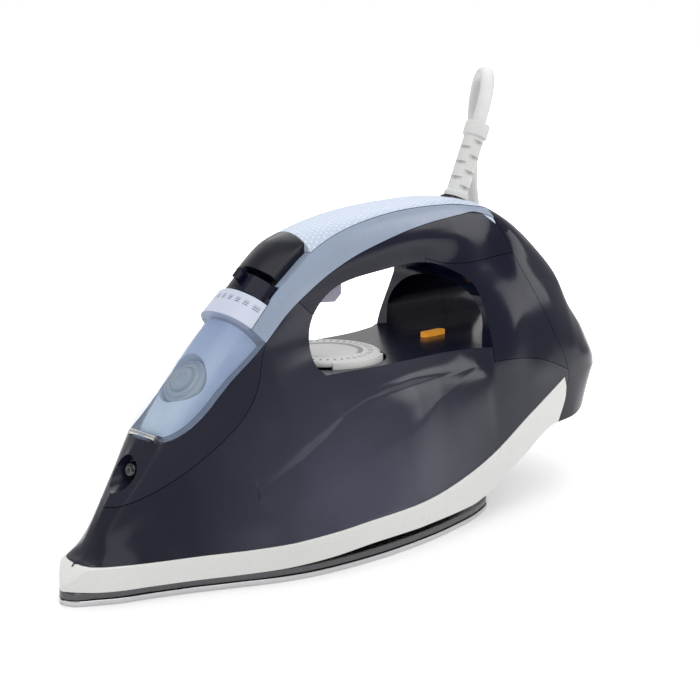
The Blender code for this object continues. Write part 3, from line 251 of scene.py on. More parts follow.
# ------------------------------------------------------------------- node help
class Signal:
    """Output of a node, to reckon with, blend colours by and link onwards."""

    def __init__(self, tree, socket):
        """Signal of one output socket."""
        self.tree, self.socket = tree, socket

    def op(self, operation, other=None):
        """Math node on this signal and another signal or number."""
        made = self.tree.nodes.new("ShaderNodeMath")
        made.operation = operation
        self.to(made.inputs[0])
        if isinstance(other, Signal):
            other.to(made.inputs[1])
        elif other is not None:
            made.inputs[1].default_value = other
        return Signal(self.tree, made.outputs[0])

    def __add__(self, other):
        return self.op("ADD", other)

    def __sub__(self, other):
        return self.op("SUBTRACT", other)

    def __mul__(self, other):
        return self.op("MULTIPLY", other)

    def __truediv__(self, other):
        return self.op("DIVIDE", other)

    def __abs__(self):
        return self.op("ABSOLUTE")

    def span(self, low, high, to_low=0.0, to_high=1.0):
        """Clamped map of a value range."""
        made = node(self.tree, "ShaderNodeMapRange", From_Min=low, From_Max=high,
                    To_Min=to_low, To_Max=to_high)
        self.to(made.inputs["Value"])
        return Signal(self.tree, made.outputs["Result"])

    def blend(self, low, high):
        """Colour between two colours, by this signal."""
        made = self.tree.nodes.new("ShaderNodeMix")
        made.data_type = "RGBA"
        self.to(made.inputs[0])
        for slot, value in ((6, low), (7, high)):
            if isinstance(value, Signal):
                value.to(made.inputs[slot])
            else:
                made.inputs[slot].default_value = value
        return Signal(self.tree, made.outputs[2])

    def to(self, socket):
        """Link to an input."""
        self.tree.links.new(self.socket, socket)


def shader(name, colour, rough, metal=0.0):
    """New Principled material with its tree and shader inputs."""
    mat = bpy.data.materials.new(name)
    mat.use_nodes = True
    tree = mat.node_tree
    sockets = tree.nodes["Principled BSDF"].inputs
    sockets["Base Color"].default_value = colour
    sockets["Roughness"].default_value = rough
    sockets["Metallic"].default_value = metal
    return mat, tree, sockets


def node(tree, kind, **inputs):
    """Add a node and set inputs by name (underscores stand for spaces)."""
    made = tree.nodes.new(kind)
    for key, value in inputs.items():
        made.inputs[key.replace("_", " ")].default_value = value
    return made


def position(tree):
    """Object coordinates in metres, as x, y and z."""
    coords = tree.nodes.new("ShaderNodeTexCoord")
    split = tree.nodes.new("ShaderNodeSeparateXYZ")
    tree.links.new(coords.outputs["Object"], split.inputs[0])
    return [Signal(tree, out) for out in split.outputs]


def noise(tree, scale, detail=3.0, stretch=(1, 1, 1)):
    """Noise value over object coordinates."""
    coords = tree.nodes.new("ShaderNodeTexCoord")
    mapping = node(tree, "ShaderNodeMapping", Scale=stretch)
    tree.links.new(coords.outputs["Object"], mapping.inputs["Vector"])
    made = node(tree, "ShaderNodeTexNoise", Scale=scale, Detail=detail)
    tree.links.new(mapping.outputs["Vector"], made.inputs["Vector"])
    return Signal(tree, made.outputs["Fac"])


def cloud(tree, scale, low=0.0, high=1.0, detail=3.0):
    """Noise spread over a range of values."""
    return noise(tree, scale, detail).span(0.3, 0.7, low, high)


def bump(tree, sockets, height, strength, distance):
    """Feed a height signal into the shader's normal."""
    made = node(tree, "ShaderNodeBump", Strength=strength, Distance=distance)
    height.to(made.inputs["Height"])
    tree.links.new(made.outputs["Normal"], sockets["Normal"])


def plastic(name, colour, rough, vary=0.12, grain=0.0, shine=0.5):
    """Moulded plastic: faint mottling, roughness variation and fine grain."""
    mat, tree, sockets = shader(name, colour, rough)
    darker, lighter = ((*(c * k for c in colour[:3]), 1.0) for k in (1 - vary, 1 + vary))
    cloud(tree, 45.0).blend(darker, lighter).to(sockets["Base Color"])
    cloud(tree, 130.0, rough * 0.85, rough * 1.2, 5.0).to(sockets["Roughness"])
    sockets["Specular IOR Level"].default_value = shine
    if grain:
        bump(tree, sockets, noise(tree, 2600.0, 2.0), grain, 0.0002)
    return mat


def metal(name, colour, rough, scale=(40.0, 900.0, 40.0), strength=0.15):
    """Brushed or cast metal: stretched noise in roughness and bump."""
    mat, tree, sockets = shader(name, colour, rough, 1.0)
    streak = noise(tree, 4.0, 6.0, scale)
    streak.span(0.3, 0.7, rough * 0.7, rough * 1.4).to(sockets["Roughness"])
    bump(tree, sockets, streak, strength, 0.0001)
    return mat


# --------------------------------------------------------------- smooth shells
FINE_STEP = 1.7           # spacing of the fine stations along the iron
RIB_PARTS = 14            # points between two rails of a section
FACET_DEPTH = 3.6         # carving of the tank's side facet
FACET_END = 83.0          # height at which the carving has run out
FACET_HIGH = [(78, 38), (92, 47.1), (114, 58.6), (127, 66), (140, 70.7), (155, 73), (169, 73.7),
              (192, 74.4), (215, 75.5)]
FACET_LOW = [(78, 30.5), (95, 36), (114, 41.4), (132, 47), (146, 50.4), (160, 54.4), (172, 59),
             (183, 64.4), (198, 70.2), (215, 75.4)]


def rail_at(rail, x):
    """Half width and height of a rail at station x, as a monotone cubic."""
    if x <= rail[0][0]:
        return rail[0][1:]
    if x >= rail[-1][0]:
        return rail[-1][1:]
    k = 0
    while rail[k + 1][0] < x:
        k += 1
    reach = rail[k + 1][0] - rail[k][0]
    t = (x - rail[k][0]) / reach
    out = []
    for axis in (1, 2):
        m0 = slope_at(rail, k, axis)
        m1 = slope_at(rail, k + 1, axis)
        a, b = rail[k][axis], rail[k + 1][axis]
        out.append((2 * t ** 3 - 3 * t ** 2 + 1) * a + (t ** 3 - 2 * t ** 2 + t) * reach * m0
                   + (3 * t ** 2 - 2 * t ** 3) * b + (t ** 3 - t ** 2) * reach * m1)
    return out


def slope_at(rail, k, axis):
    """Slope of a rail at its own point k, flat where it turns."""
    if k == 0 or k == len(rail) - 1:
        a, b = (0, 1) if k == 0 else (-2, -1)
        return (rail[b][axis] - rail[a][axis]) / (rail[b][0] - rail[a][0])
    before = (rail[k][axis] - rail[k - 1][axis]) / (rail[k][0] - rail[k - 1][0])
    after = (rail[k + 1][axis] - rail[k][axis]) / (rail[k + 1][0] - rail[k][0])
    if before * after <= 0:
        return 0.0
    return 2 * before * after / (before + after)


def spline(points, parts, closed_by=None):
    """Centripetal cubic through points; closed_by adds a mirror point past the end."""
    ends = [tuple(2 * a - b for a, b in zip(points[0], points[1]))] + list(points)
    ends.append(closed_by or tuple(2 * a - b for a, b in zip(points[-1], points[-2])))
    out = []
    for i in range(1, len(ends) - 2):
        p = [Vector(q) for q in ends[i - 1:i + 3]]
        d = [max(1e-4, (p[j + 1] - p[j]).length) ** 0.5 for j in range(3)]
        m1 = (p[2] - p[1]) / d[1] - (p[2] - p[0]) / (d[0] + d[1]) + (p[1] - p[0]) / d[0]
        m2 = (p[3] - p[2]) / d[2] - (p[3] - p[1]) / (d[1] + d[2]) + (p[2] - p[1]) / d[1]
        m1, m2 = m1 * d[1], m2 * d[1]
        for j in range(parts):
            t = j / parts
            out.append(p[1] * (2 * t ** 3 - 3 * t ** 2 + 1) + m1 * (t ** 3 - 2 * t ** 2 + t)
                       + p[2] * (3 * t ** 2 - 2 * t ** 3) + m2 * (t ** 3 - t ** 2))
    out.append(Vector(points[-1]))
    return out


def stations():
    """Fine stations, closer at both ends."""
    out = [0.6, 1.4, 2.2, 3, 4, 5, 6, 7, 8, 9, 10, 11.2, 12.4, 13.6, 15, 16.5, 18]
    while out[-1] < 296.5:
        out.append(out[-1] + FINE_STEP)
    return out + [299, 301, 303, 305, 307, 309, 311, 312.5, 314, 315, 316, 316.6, 317]


def soft(points, parts=5):
    """Open outline smoothed through its points."""
    return [tuple(p) for p in spline(points, parts)]


def new_object(bm, name):
    """Linked object from a bmesh, normals out."""
    bmesh.ops.remove_doubles(bm, verts=bm.verts, dist=1e-6)
    bmesh.ops.recalc_face_normals(bm, faces=bm.faces)
    mesh = bpy.data.meshes.new(name)
    bm.to_mesh(mesh)
    bm.free()
    obj = bpy.data.objects.new(name, mesh)
    SCENE.collection.objects.link(obj)
    return obj


def skin(rings, name, capped=True):
    """Loft between equal-count rings of world points."""
    bm = bmesh.new()
    rows = [[bm.verts.new(p) for p in ring] for ring in rings]
    count = len(rows[0])
    for a, b in zip(rows, rows[1:]):
        for i in range(count):
            j = (i + 1) % count
            bm.faces.new((a[i], a[j], b[j], b[i]))
    if capped:
        bm.faces.new(rows[0][::-1])
        bm.faces.new(rows[-1])
    bmesh.ops.triangulate(bm, faces=[f for f in bm.faces if len(f.verts) > 4])
    return new_object(bm, name)


def section(x):
    """One side of the body's section at x, bottom to crown, as (y, z)."""
    side = [tuple(rail_at(rail, x)) for rail in RAILS]
    top = (0.0, rail_at(TOP, x)[1])
    wall = spline(side[:2], RIB_PARTS)
    above = spline(side[1:] + [top], RIB_PARTS, (-side[-1][0], side[-1][1]))
    return [(p.x, p.y) for p in wall[:-1] + above]


def envelope(name, shrink_y=1.0, shift=(0.0, 0.0), sculpted=True):
    """The whole outer form of the iron above the cast base."""
    rings = []
    for x in stations():
        side = section(x)
        if sculpted:
            side = [(y - relief(x, z), z) for y, z in side]
        ring = [put(x + shift[0], y * shrink_y, z + shift[1]) for y, z in side]
        ring += [put(x + shift[0], -y * shrink_y, z + shift[1]) for y, z in side[-2::-1]]
        rings.append(ring)
    return skin(rings, name)


def relief(x, z):
    """How far the tank's side is carved in at (x, z): a shallow leaf-shaped facet."""
    if not FACET_HIGH[0][0] < x < FACET_HIGH[-1][0]:
        return 0.0
    low, high = level(FACET_LOW, x), level(FACET_HIGH, x)
    deep = FACET_DEPTH * min(1.0, (high - low) / 15)
    if z <= high:
        return deep * min(1.0, max(0.0, (z - low) / max(1.0, high - low)))
    t = min(1.0, (z - high) / max(3.0, FACET_END - high))
    return deep * (1 - t) ** 2


def level(line, x):
    """Height of a side-view line at x."""
    for (x0, z0), (x1, z1) in zip(line, line[1:]):
        if x <= x1:
            return z0 + (z1 - z0) * (x - x0) / (x1 - x0)
    return line[-1][1]


def grow(points, distance):
    """Offset a closed side-view outline outwards with mitred corners."""
    area = sum(a[0] * b[1] - b[0] * a[1] for a, b in zip(points, points[1:] + points[:1]))
    sign = 1.0 if area > 0 else -1.0
    out = []
    count = len(points)
    for i in range(count):
        p, q, r = points[i - 1], points[i], points[(i + 1) % count]
        d1 = Vector((q[0] - p[0], q[1] - p[1])).normalized()
        d2 = Vector((r[0] - q[0], r[1] - q[1])).normalized()
        n1 = Vector((d1.y, -d1.x)) * sign
        n2 = Vector((d2.y, -d2.x)) * sign
        mid = n1 + n2
        scale = distance / max(0.35, mid.length_squared / 2)
        out.append((q[0] + mid.x * scale, q[1] + mid.y * scale))
    return out


def prism(points, name, half=90.0, middle=0.0):
    """Side-view outline extruded across the iron."""
    bm = bmesh.new()
    verts = [bm.verts.new(put(x, middle - half, z)) for x, z in points]
    face = bm.faces.new(verts)
    made = bmesh.ops.extrude_face_region(bm, geom=[face])
    moved = [v for v in made["geom"] if isinstance(v, bmesh.types.BMVert)]
    bmesh.ops.translate(bm, verts=moved, vec=Vector((0, 2 * half * 0.001, 0)))
    bmesh.ops.triangulate(bm, faces=bm.faces)
    return new_object(bm, name)


def box(x0, x1, y0, y1, z0, z1, name):
    """Axis-aligned block."""
    return prism([(x0, z0), (x1, z0), (x1, z1), (x0, z1)], name, (y1 - y0) / 2, (y0 + y1) / 2)


def lathe(profile, base, direction, name, steps=64, closed=False):
    """Turned piece: (radius, height) profile about an axis through base."""
    turn = Vector(direction).normalized().to_track_quat("Z", "Y").to_matrix()
    bm = bmesh.new()
    rows = []
    for i in range(steps):
        a = 2 * math.pi * i / steps
        row = []
        for radius, height in profile:
            local = Vector((radius * math.cos(a), radius * math.sin(a), height)) * 0.001
            row.append(bm.verts.new(put(*base) + turn @ local))
        rows.append(row)
    count = len(profile)
    for i in range(steps):
        a, b = rows[i], rows[(i + 1) % steps]
        for j in range(count if closed else count - 1):
            k = (j + 1) % count
            bm.faces.new((a[j], b[j], b[k], a[k]))
    if not closed:
        bm.faces.new([row[0] for row in rows])
        bm.faces.new([row[-1] for row in rows][::-1])
    return new_object(bm, name)


def rod(start, direction, length, radius, name, sides=48, end_radius=None):
    """Cylinder or cone from a start point along a direction."""
    top = radius if end_radius is None else end_radius
    return lathe([(radius, 0), (top, length)], start, direction, name, sides)


def combine(target, other, operation):
    """Boolean baked straight into the target mesh; the other object is used up."""
    mod = target.modifiers.new("cut", "BOOLEAN")
    mod.solver = "MANIFOLD"
    mod.operation = operation
    mod.object = other
    before = len(target.data.vertices)
    mesh = evaluated(target)
    if len(mesh.vertices) == before and operation != "UNION":
        mod.solver = "EXACT"
        mesh = evaluated(target)
    target.modifiers.clear()
    old = target.data
    target.data = mesh
    bpy.data.meshes.remove(old)
    bpy.data.objects.remove(other, do_unlink=True)


def evaluated(obj):
    """Mesh of an object with its modifiers applied."""
    graph = bpy.context.evaluated_depsgraph_get()
    graph.update()
    return bpy.data.meshes.new_from_object(obj.evaluated_get(graph))


def cut(target, other):
    """Remove other from target."""
    combine(target, other, "DIFFERENCE")


def common(target, other):
    """Keep what target and other share."""
    combine(target, other, "INTERSECT")


def join(target, other):
    """Add other to target."""
    combine(target, other, "UNION")


def copy(obj, name):
    """Independent copy of a working object."""
    made = obj.copy()
    made.data = obj.data.copy()
    made.name = name
    SCENE.collection.objects.link(made)
    return made


def dress(obj, slot, mat, *nodes, body="shell", normals=None, angle=35):
    """Shading, name, material, body and CAD nodes of a finished piece."""
    if normals:
        normals.paint(obj)
    else:
        obj.data.shade_smooth()
        obj.data.set_sharp_from_angle(angle=math.radians(angle))
    obj.name = nodes[0] + "_skin" if nodes else obj.name
    obj.data.materials.clear()
    obj.data.materials.append(mat)
    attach(obj, body)
    if nodes:
        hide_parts(*nodes)


class Normals:
    """Smooth shading taken from the uncut form."""

    def __init__(self, form):
        """Tree of the form's triangles with their corner normals."""
        mesh = form.data.copy()
        bm = bmesh.new()
        bm.from_mesh(mesh)
        bmesh.ops.triangulate(bm, faces=bm.faces)
        bm.to_mesh(mesh)
        bm.free()
        mesh.shade_smooth()
        mesh.set_sharp_from_angle(angle=math.radians(38))
        self.points = [v.co.copy() for v in mesh.vertices]
        self.faces = [tuple(p.vertices) for p in mesh.polygons]
        self.normals = [[mesh.corner_normals[i].vector.copy() for i in p.loop_indices]
                        for p in mesh.polygons]
        self.tree = BVHTree.FromPolygons(self.points, self.faces)
        bpy.data.meshes.remove(mesh)

    def at(self, point):
        """Smooth normal and distance of the form nearest a point."""
        place, _, index, distance = self.tree.find_nearest(point)
        a, b, c = (self.points[i] for i in self.faces[index])
        whole = (b - a).cross(c - a).length or 1e-12
        wa = (b - place).cross(c - place).length / whole
        wb = (c - place).cross(a - place).length / whole
        na, nb, nc = self.normals[index]
        mixed = na * wa + nb * wb + nc * max(0.0, 1 - wa - wb)
        return mixed.normalized(), distance

    def paint(self, obj, angle=32):
        """Set custom normals on what lies on the form, angle-based ones elsewhere."""
        mesh = obj.data
        mesh.shade_smooth()
        mesh.set_sharp_from_angle(angle=math.radians(angle))
        smooth = [c.vector.copy() for c in mesh.corner_normals]
        found = {}
        for vertex in mesh.vertices:
            normal, distance = self.at(vertex.co)
            if distance < 3e-5:
                found[vertex.index] = normal
        for face in mesh.polygons:
            for corner, index in zip(face.loop_indices, face.vertices):
                normal = found.get(index)
                if normal is not None and normal.dot(face.normal) > 0.86:
                    smooth[corner] = normal
        mesh.normals_split_custom_set(smooth)


# ------------------------------------------------------------------- materials
WHITE_PRINT = tint(226, 226, 226)


def make_materials():
    """Every finish of the iron, by name."""
    return {
        "tank": tank_material(),
        "nose": plastic("dark_nose", tint(25, 27, 42), 0.2, 0.1, 0.0, 0.3),
        "dark": plastic("dark_shell", tint(11, 15, 36), 0.14, 0.1, 0.0, 0.22),
        "button": plastic("dark_button", tint(16, 18, 30), 0.26, 0.1, 0.1, 0.3),
        "white": plastic("skirt_white", tint(232, 233, 230), 0.3, 0.015, 0.05),
        "dial_side": plastic("dial_side", tint(228, 229, 226), 0.38, 0.015, 0.1),
        "band": plastic("ice_blue", tint(148, 161, 182), 0.3, 0.03, 0.08),
        "pad": pad_material(),
        "ring": ring_material(),
        "dial": dial_material(),
        "clear": clear_material(),
        "silicone": plastic("silicone", tint(150, 162, 158), 0.16, 0.08, 0.1),
        "tray": tray_material(),
        "steel": metal("steel", tint(190, 190, 190), 0.25),
        "sole": metal("sole_coating", tint(92, 92, 94), 0.3, (30, 500, 30), 0.1),
        "edge": metal("sole_edge", tint(196, 196, 198), 0.2, (30, 500, 30), 0.1),
        "black": plastic("black_plastic", tint(10, 11, 14), 0.1, 0.1, 0.0, 0.6),
        "amber": amber_material(),
        "rubber": plastic("rubber_black", tint(26, 26, 27), 0.8, 0.15, 0.3),
        "lilac": plastic("lilac_plastic", tint(150, 146, 168), 0.2, 0.06),
        "brass": metal("brass_fit", tint(200, 165, 90), 0.3),
        "cord": cord_material(),
        "guard": plastic("guard_white", tint(220, 221, 218), 0.42, 0.02, 0.15),
        "plug": plastic("plug_white", tint(214, 215, 212), 0.45, 0.02, 0.15),
    }


def tank_material():
    """Smoky dark blue plastic, with a painted reflection: lighter and greyer low in the middle."""
    mat, tree, sockets = shader("smoke_tank", tint(24, 28, 44), 0.13)
    x, _, z = position(tree)
    nose, start, end, rear = (put(k, 0, 0).x for k in (50, 115, 150, 225))
    # painted reflection: lighter and greyer low in the middle of the tank, fading towards the nose,
    # the heel and the top
    painted_reflection_patch = x.span(nose, start) * x.span(end, rear, 1.0, 0.0) * z.span(0.034, 0.088, 1.0, 0.15)
    mottled_reflection_patch = painted_reflection_patch * cloud(tree, 40.0, 0.9, 1.1)
    mottled_reflection_patch.blend(tint(17, 21, 38), tint(66, 68, 84)).to(sockets["Base Color"])
    cloud(tree, 130.0, 0.17, 0.23, 5.0).to(sockets["Roughness"])
    sockets["Specular IOR Level"].default_value = 0.3
    return mat


def pad_material():
    """Pale soft grip with rows of small raised dots."""
    mat, tree, sockets = shader("pale_grip", tint(200, 213, 236), 0.5)
    x, y, _ = position(tree)
    pitch = 0.0024
    rows = x / pitch
    columns = y / pitch + rows.op("FLOOR") * 0.5
    u, v = rows.op("FRACT") - 0.5, columns.op("FRACT") - 0.5
    dot = (u * u + v * v).op("SQRT").span(0.2, 0.32, 1.0, 0.0)
    dot.blend(tint(196, 208, 228), tint(222, 230, 243)).to(sockets["Base Color"])
    bump(tree, sockets, dot, 0.6, 0.0004)
    return mat


def ring_material():
    """Pale scale saddle with a row of small grey steam marks."""
    mat, tree, sockets = shader("scale_ring", tint(206, 213, 230), 0.4)
    a = math.radians(RING_TILT)
    x, y, z = position(tree)
    start = put(RING_START[0], 0, RING_START[1])
    along = (x - start.x) * math.cos(a) + (z - start.z) * math.sin(a)
    line = abs(along - 0.0094).span(0.0011, 0.0014, 1.0, 0.0)
    mark = abs((y / 0.0043).op("FRACT") - 0.5).span(0.24, 0.3, 1.0, 0.0)
    stripes = (along / 0.0011).op("FRACT").span(0.35, 0.45)
    printed = line * mark * stripes
    printed.blend(tint(206, 213, 230), tint(132, 140, 160)).to(sockets["Base Color"])
    return mat


def dial_material():
    """White dial top: grey scale arc and a ring of ticks round a plain middle."""
    mat, tree, sockets = shader("dial_print", WHITE_PRINT, 0.4)
    x, y, _ = position(tree)
    dx = x - put(DIAL_X, 0, 0).x
    radius = (dx * dx + y * y).op("SQRT")
    angle = y.op("ARCTAN2", dx)
    tick = abs((angle / math.radians(9)).op("FRACT") - 0.5).span(0.12, 0.16, 1.0, 0.0)
    ticks = tick * (radius.span(0.0196, 0.0199) * radius.span(0.0224, 0.0227, 1.0, 0.0))
    arc = radius.span(0.0150, 0.0152) * radius.span(0.0176, 0.0178, 1.0, 0.0)
    arc = arc * angle.span(-1.2, -1.15)
    ticked = ticks.blend(WHITE_PRINT, tint(92, 92, 98))
    arc.blend(ticked, tint(140, 142, 148)).to(sockets["Base Color"])
    return mat


def tray_material():
    """Light blue tray under the lid: near white low down, lavender blue higher up."""
    mat, tree, sockets = shader("tray_blue", tint(190, 210, 236), 0.3)
    _, y, z = position(tree)
    high = z.span(0.066, 0.112) * cloud(tree, 60.0, 0.92, 1.08)
    shade = high.op("MAXIMUM", abs(y).span(0.004, 0.014) * 0.75)
    shade.blend(tint(226, 244, 248), tint(146, 164, 202)).to(sockets["Base Color"])
    return mat


def clear_material():
    """Clear blue plastic with a glossy face."""
    mat, tree, sockets = shader("blue_clear", tint(170, 188, 220), 0.05)
    cloud(tree, 60.0).blend(tint(164, 182, 216), tint(178, 196, 226)).to(sockets["Base Color"])
    sockets["Alpha"].default_value = 0.22
    sockets["Coat Weight"].default_value = 0.4
    sockets["Coat Roughness"].default_value = 0.02
    return mat


def amber_material():
    """Pilot lens, faintly lit."""
    mat, tree, sockets = shader("amber_lens", tint(236, 160, 52), 0.2)
    cloud(tree, 300.0).blend(tint(232, 150, 40), tint(240, 176, 72)).to(sockets["Base Color"])
    sockets["Emission Color"].default_value = tint(240, 160, 60)
    sockets["Emission Strength"].default_value = 0.35
    return mat


def cord_material():
    """White lead with the faint ripple of its jacket."""
    mat, tree, sockets = shader("cord_white", tint(226, 227, 226), 0.45)
    cloud(tree, 90.0).blend(tint(220, 221, 220), tint(231, 232, 231)).to(sockets["Base Color"])
    bump(tree, sockets, noise(tree, 900.0, 2.0), 0.15, 0.0003)
    return mat


# ----------------------------------------------------------------------- lead
def smooth_path(knots, parts, before):
    """Smooth curve through the knots, led in from the point before."""
    out = []
    ends = [before] + knots + [2 * knots[-1] - knots[-2]]
    for i in range(1, len(ends) - 2):
        p0, p1, p2, p3 = ends[i - 1], ends[i], ends[i + 1], ends[i + 2]
        for j in range(parts):
            t = j / parts
            out.append(0.5 * ((2 * p1) + (p2 - p0) * t + (2 * p0 - 5 * p1 + 4 * p2 - p3) * t * t
                              + (3 * p1 - p0 - 3 * p2 + p3) * t ** 3))
    out.append(knots[-1])
    return out


def ease(t):
    """Smooth step from 0 to 1."""
    t = min(1.0, max(0.0, t))
    return t * t * (3 - 2 * t)


def coil_path():
    """Turns of the coil, from its outer low turn in, up and back out to the plug."""
    pitch = 2 * CORD_R + 0.05
    low = CORD_R + 0.2
    slots = [(COIL_R + pitch, low), (COIL_R, low), (COIL_R - pitch, low),
             (COIL_R - pitch, low + pitch), (COIL_R, low + pitch), (COIL_R + pitch, low + pitch),
             (COIL_R + pitch, low + pitch)]
    per_turn = 28
    total = 5 + (270 - 16) / 360
    out = []
    for i in range(1, int(total * per_turn) + 1):
        turns = i / per_turn
        k = int(turns)
        t = ease((turns - k - 0.74) / 0.26)
        radius = slots[k][0] * (1 - t) + slots[k + 1][0] * t
        height = slots[k][1] * (1 - t) + slots[k + 1][1] * t
        late = ease((turns - total + 0.26) / 0.26)
        radius += (COIL_R - radius) * late
        height += (PLUG_LEVEL - height) * late
        a = 2 * math.pi * turns
        out.append(Vector((COIL_X + radius * math.cos(a), COIL_Y + radius * math.sin(a), height)))
    return out


def build_lead(mats):
    """The lead from its sleeve to the plug as one curve, and its plug."""
    base, lean = guard_axis()
    inside = [base + lean * t for t in (1.2, 12, 23, 34)]
    leave = base + lean * (GUARD_LEN + 2)
    path = inside + smooth_path([leave] + [Vector(p) for p in ROUTE], 2, leave - lean * 9)
    path += coil_path() + [Vector((COIL_X - 16.5, COIL_Y - COIL_R, PLUG_LEVEL))]
    curve = bpy.data.curves.new("lead", "CURVE")
    curve.dimensions = "3D"
    curve.bevel_depth = CORD_R * 0.001
    curve.bevel_resolution = 5
    curve.use_fill_caps = True
    spline_ = curve.splines.new("POLY")
    spline_.points.add(len(path) - 1)
    for point, place in zip(spline_.points, path):
        point.co = (*put(*place), 1.0)
    lead = bpy.data.objects.new("lead", curve)
    SCENE.collection.objects.link(lead)
    curve.materials.append(mats["cord"])
    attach(lead, "shell")
    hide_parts("cord", "cord_coil")
    rest = (COIL_X - 16, COIL_Y - COIL_R, PLUG_LEVEL)
    body = lathe([(4.4, -0.2), (6, 0.4), (7.4, 1.2), (9.8, 2.4), (11.2, 4.2), (12.4, 8), (13, 13),
                  (13, 30), (12.8, 31.5), (12.2, 33.2), (11.6, 34)], rest, (1, 0, 0), "plug", 48)
    for i in range(9):
        groove = math.pi * 2 * i / 9
        place = (rest[0] + 12, rest[1] + 14.6 * math.cos(groove), rest[2] + 14.6 * math.sin(groove))
        cut(body, rod(place, (1, 0, 0), 14, 2.2, "groove", 20))
    dress(body, "cord_white", mats["plug"], "plug_body")
    tie = coil_tie(mats)
    length = sum((q - p).length for p, q in zip(path, path[1:])) * 0.001
    tuple(put(*path[0]))


def coil_tie(mats):
    """Soft strap that holds the coiled turns together."""
    middle = Vector((COIL_X, COIL_Y + COIL_R, 0.2 + COIL_TALL / 2))
    rings = []
    for i in range(48):
        a = 2 * math.pi * i / 48
        out, up = math.cos(a), math.sin(a)
        wide = math.copysign(abs(out) ** 0.45, out)
        tall = math.copysign(abs(up) ** 0.45, up)
        ring = []
        for side, thick in ((-4, 0.05), (-4, 0.9), (4, 0.9), (4, 0.05)):
            reach = COIL_SIDE + thick
            rise = COIL_TALL / 2 + (thick if up > 0 else 0.1)
            ring.append(put(middle.x + side, middle.y + wide * reach, middle.z + tall * rise))
        rings.append(ring)
    tie = skin(rings + rings[:1], "lead_tie", False)
    dress(tie, "rubber_black", mats["rubber"])
    return tie


def guard_axis():
    """Foot of the cord sleeve and its direction."""
    a = math.radians(GUARD_TILT)
    return Vector((GUARD_X, 0, GUARD_Z)), Vector((math.sin(a), 0, math.cos(a)))


def plug_axis():
    """Seat of the filling plug and its outward direction."""
    a = math.radians(PLUG_TILT)
    return Vector((PLUG_X, 0, PLUG_Z)), Vector((-math.sin(a), 0, math.cos(a)))


# --------------------------------------------------------------------- shells
def take(form, zone, name):
    """Split a side-view zone off the form as a new piece."""
    part = copy(form, name)
    common(part, prism(zone, "zone"))
    cut(form, prism(grow(zone, GAP), "zone_gap"))
    return part


def ring_axes():
    """Unit vectors along and across the steam ring axis, side view."""
    a = math.radians(RING_TILT)
    return (math.cos(a), math.sin(a)), (math.sin(a), -math.cos(a))


def on_ring(s, p):
    """Point s along the ring axis and p below the nose ridge."""
    ax, pe = ring_axes()
    return (RING_START[0] + s * ax[0] + p * pe[0], 0.0,
            RING_START[1] + s * ax[1] + p * pe[1])


def slab(s0, s1, p0, p1):
    """Side-view rectangle in the steam ring's own axes."""
    return [(on_ring(s, p)[0], on_ring(s, p)[2])
            for s, p in ((s0, p0), (s1, p0), (s1, p1), (s0, p1))]


def drum_section(radius):
    """U-shaped room for the drum: round below its axis, open in front."""
    stop = math.asin(DRUM_SWING / radius)
    points = [(-30, -radius)]
    for i in range(17):
        t = stop * i / 16
        points.append((AXIS_DEPTH + radius * math.sin(t), -radius * math.cos(t)))
    return points + [(p, -y) for p, y in points[::-1]]


def across(outline, s0, s1, name):
    """Outline of (depth, y) points drawn out along the ring axis."""
    rings = []
    for s in (s0, s1):
        rings.append([put(on_ring(s, p)[0], y, on_ring(s, p)[2]) for p, y in outline])
    return skin(rings, name)


def drum_room():
    """Room that the steam drum turns in."""
    return across(drum_section(DRUM_R + GAP), RING_LEN - 0.05,
                  RING_LEN + GAP + DRUM_LEN + GAP, "drum_room")


def lowered(points, drop):
    """Outline points moved down a little."""
    return [(x, z - drop) for x, z in points]


def hollow_envelope():
    """Envelope with the handle opening and the heel tunnel cut out."""
    form = envelope("form")
    normals = Normals(form)
    cut(form, prism(soft(HOLE), "hand_gap"))
    arc = []
    for i in range(49):
        a = math.pi * i / 48
        arc.append((TUNNEL_HALF * math.cos(a),
                    DECK_Z + 9 + (TUNNEL_TOP - DECK_Z - 9) * math.sin(a)))
    outline = [(TUNNEL_HALF, DECK_Z)] + arc + [(-TUNNEL_HALF, DECK_Z)]
    cut(form, skin([[put(x, y, z) for y, z in outline] for x in (222.0, 340.0)], "tunnel"))
    return form, normals


def build_shells(mats):
    """Every piece cut from the outer form."""
    form, normals = hollow_envelope()
    rear_zone = soft(REAR_ZONE[:11]) + REAR_ZONE[11:]
    rear = take(form, rear_zone, "rear")
    skirt_zone = SKIRT_ZONE[:2] + soft(SKIRT_ZONE[2:5])[:-1] + soft(SKIRT_ZONE[4:16])[:-1]
    skirt_zone += soft(SKIRT_ZONE[15:20]) + SKIRT_ZONE[20:]
    skirt = take(form, skirt_zone, "skirt")
    cut(skirt, stack([(BOSS_INSET - 0.9, -5), (BOSS_INSET - 0.9, 90)], "skirt_room"))
    build_ring(form, normals, mats)
    lid, nose = build_nose(form)
    build_handle(form, normals, mats)
    build_tank(form, nose, normals, mats)
    build_lid(lid, normals, mats)
    build_heel(rear, normals, mats)
    dress(skirt, "skirt_white", mats["white"], "skirt", normals=normals)


def build_nose(form):
    """Lid and nose cover taken off the form."""
    floor = soft(LID_FLOOR)
    lid_zone = floor[::-1] + [(HINGE_X - 3, HINGE_Z - 0.6), (30, 80), (60, 130)]
    lid_zone += [(RING_START[0] - 0.682 * 8, RING_START[1] + 0.731 * 8), RING_START]
    lid = take(form, lid_zone, "lid")
    nose_zone = [(97.4, 101.4)] + soft(NOSE_SEAM) + [(5, 118), (86, 118), (88, 112)]
    nose = take(form, nose_zone, "nose")
    return lid, nose


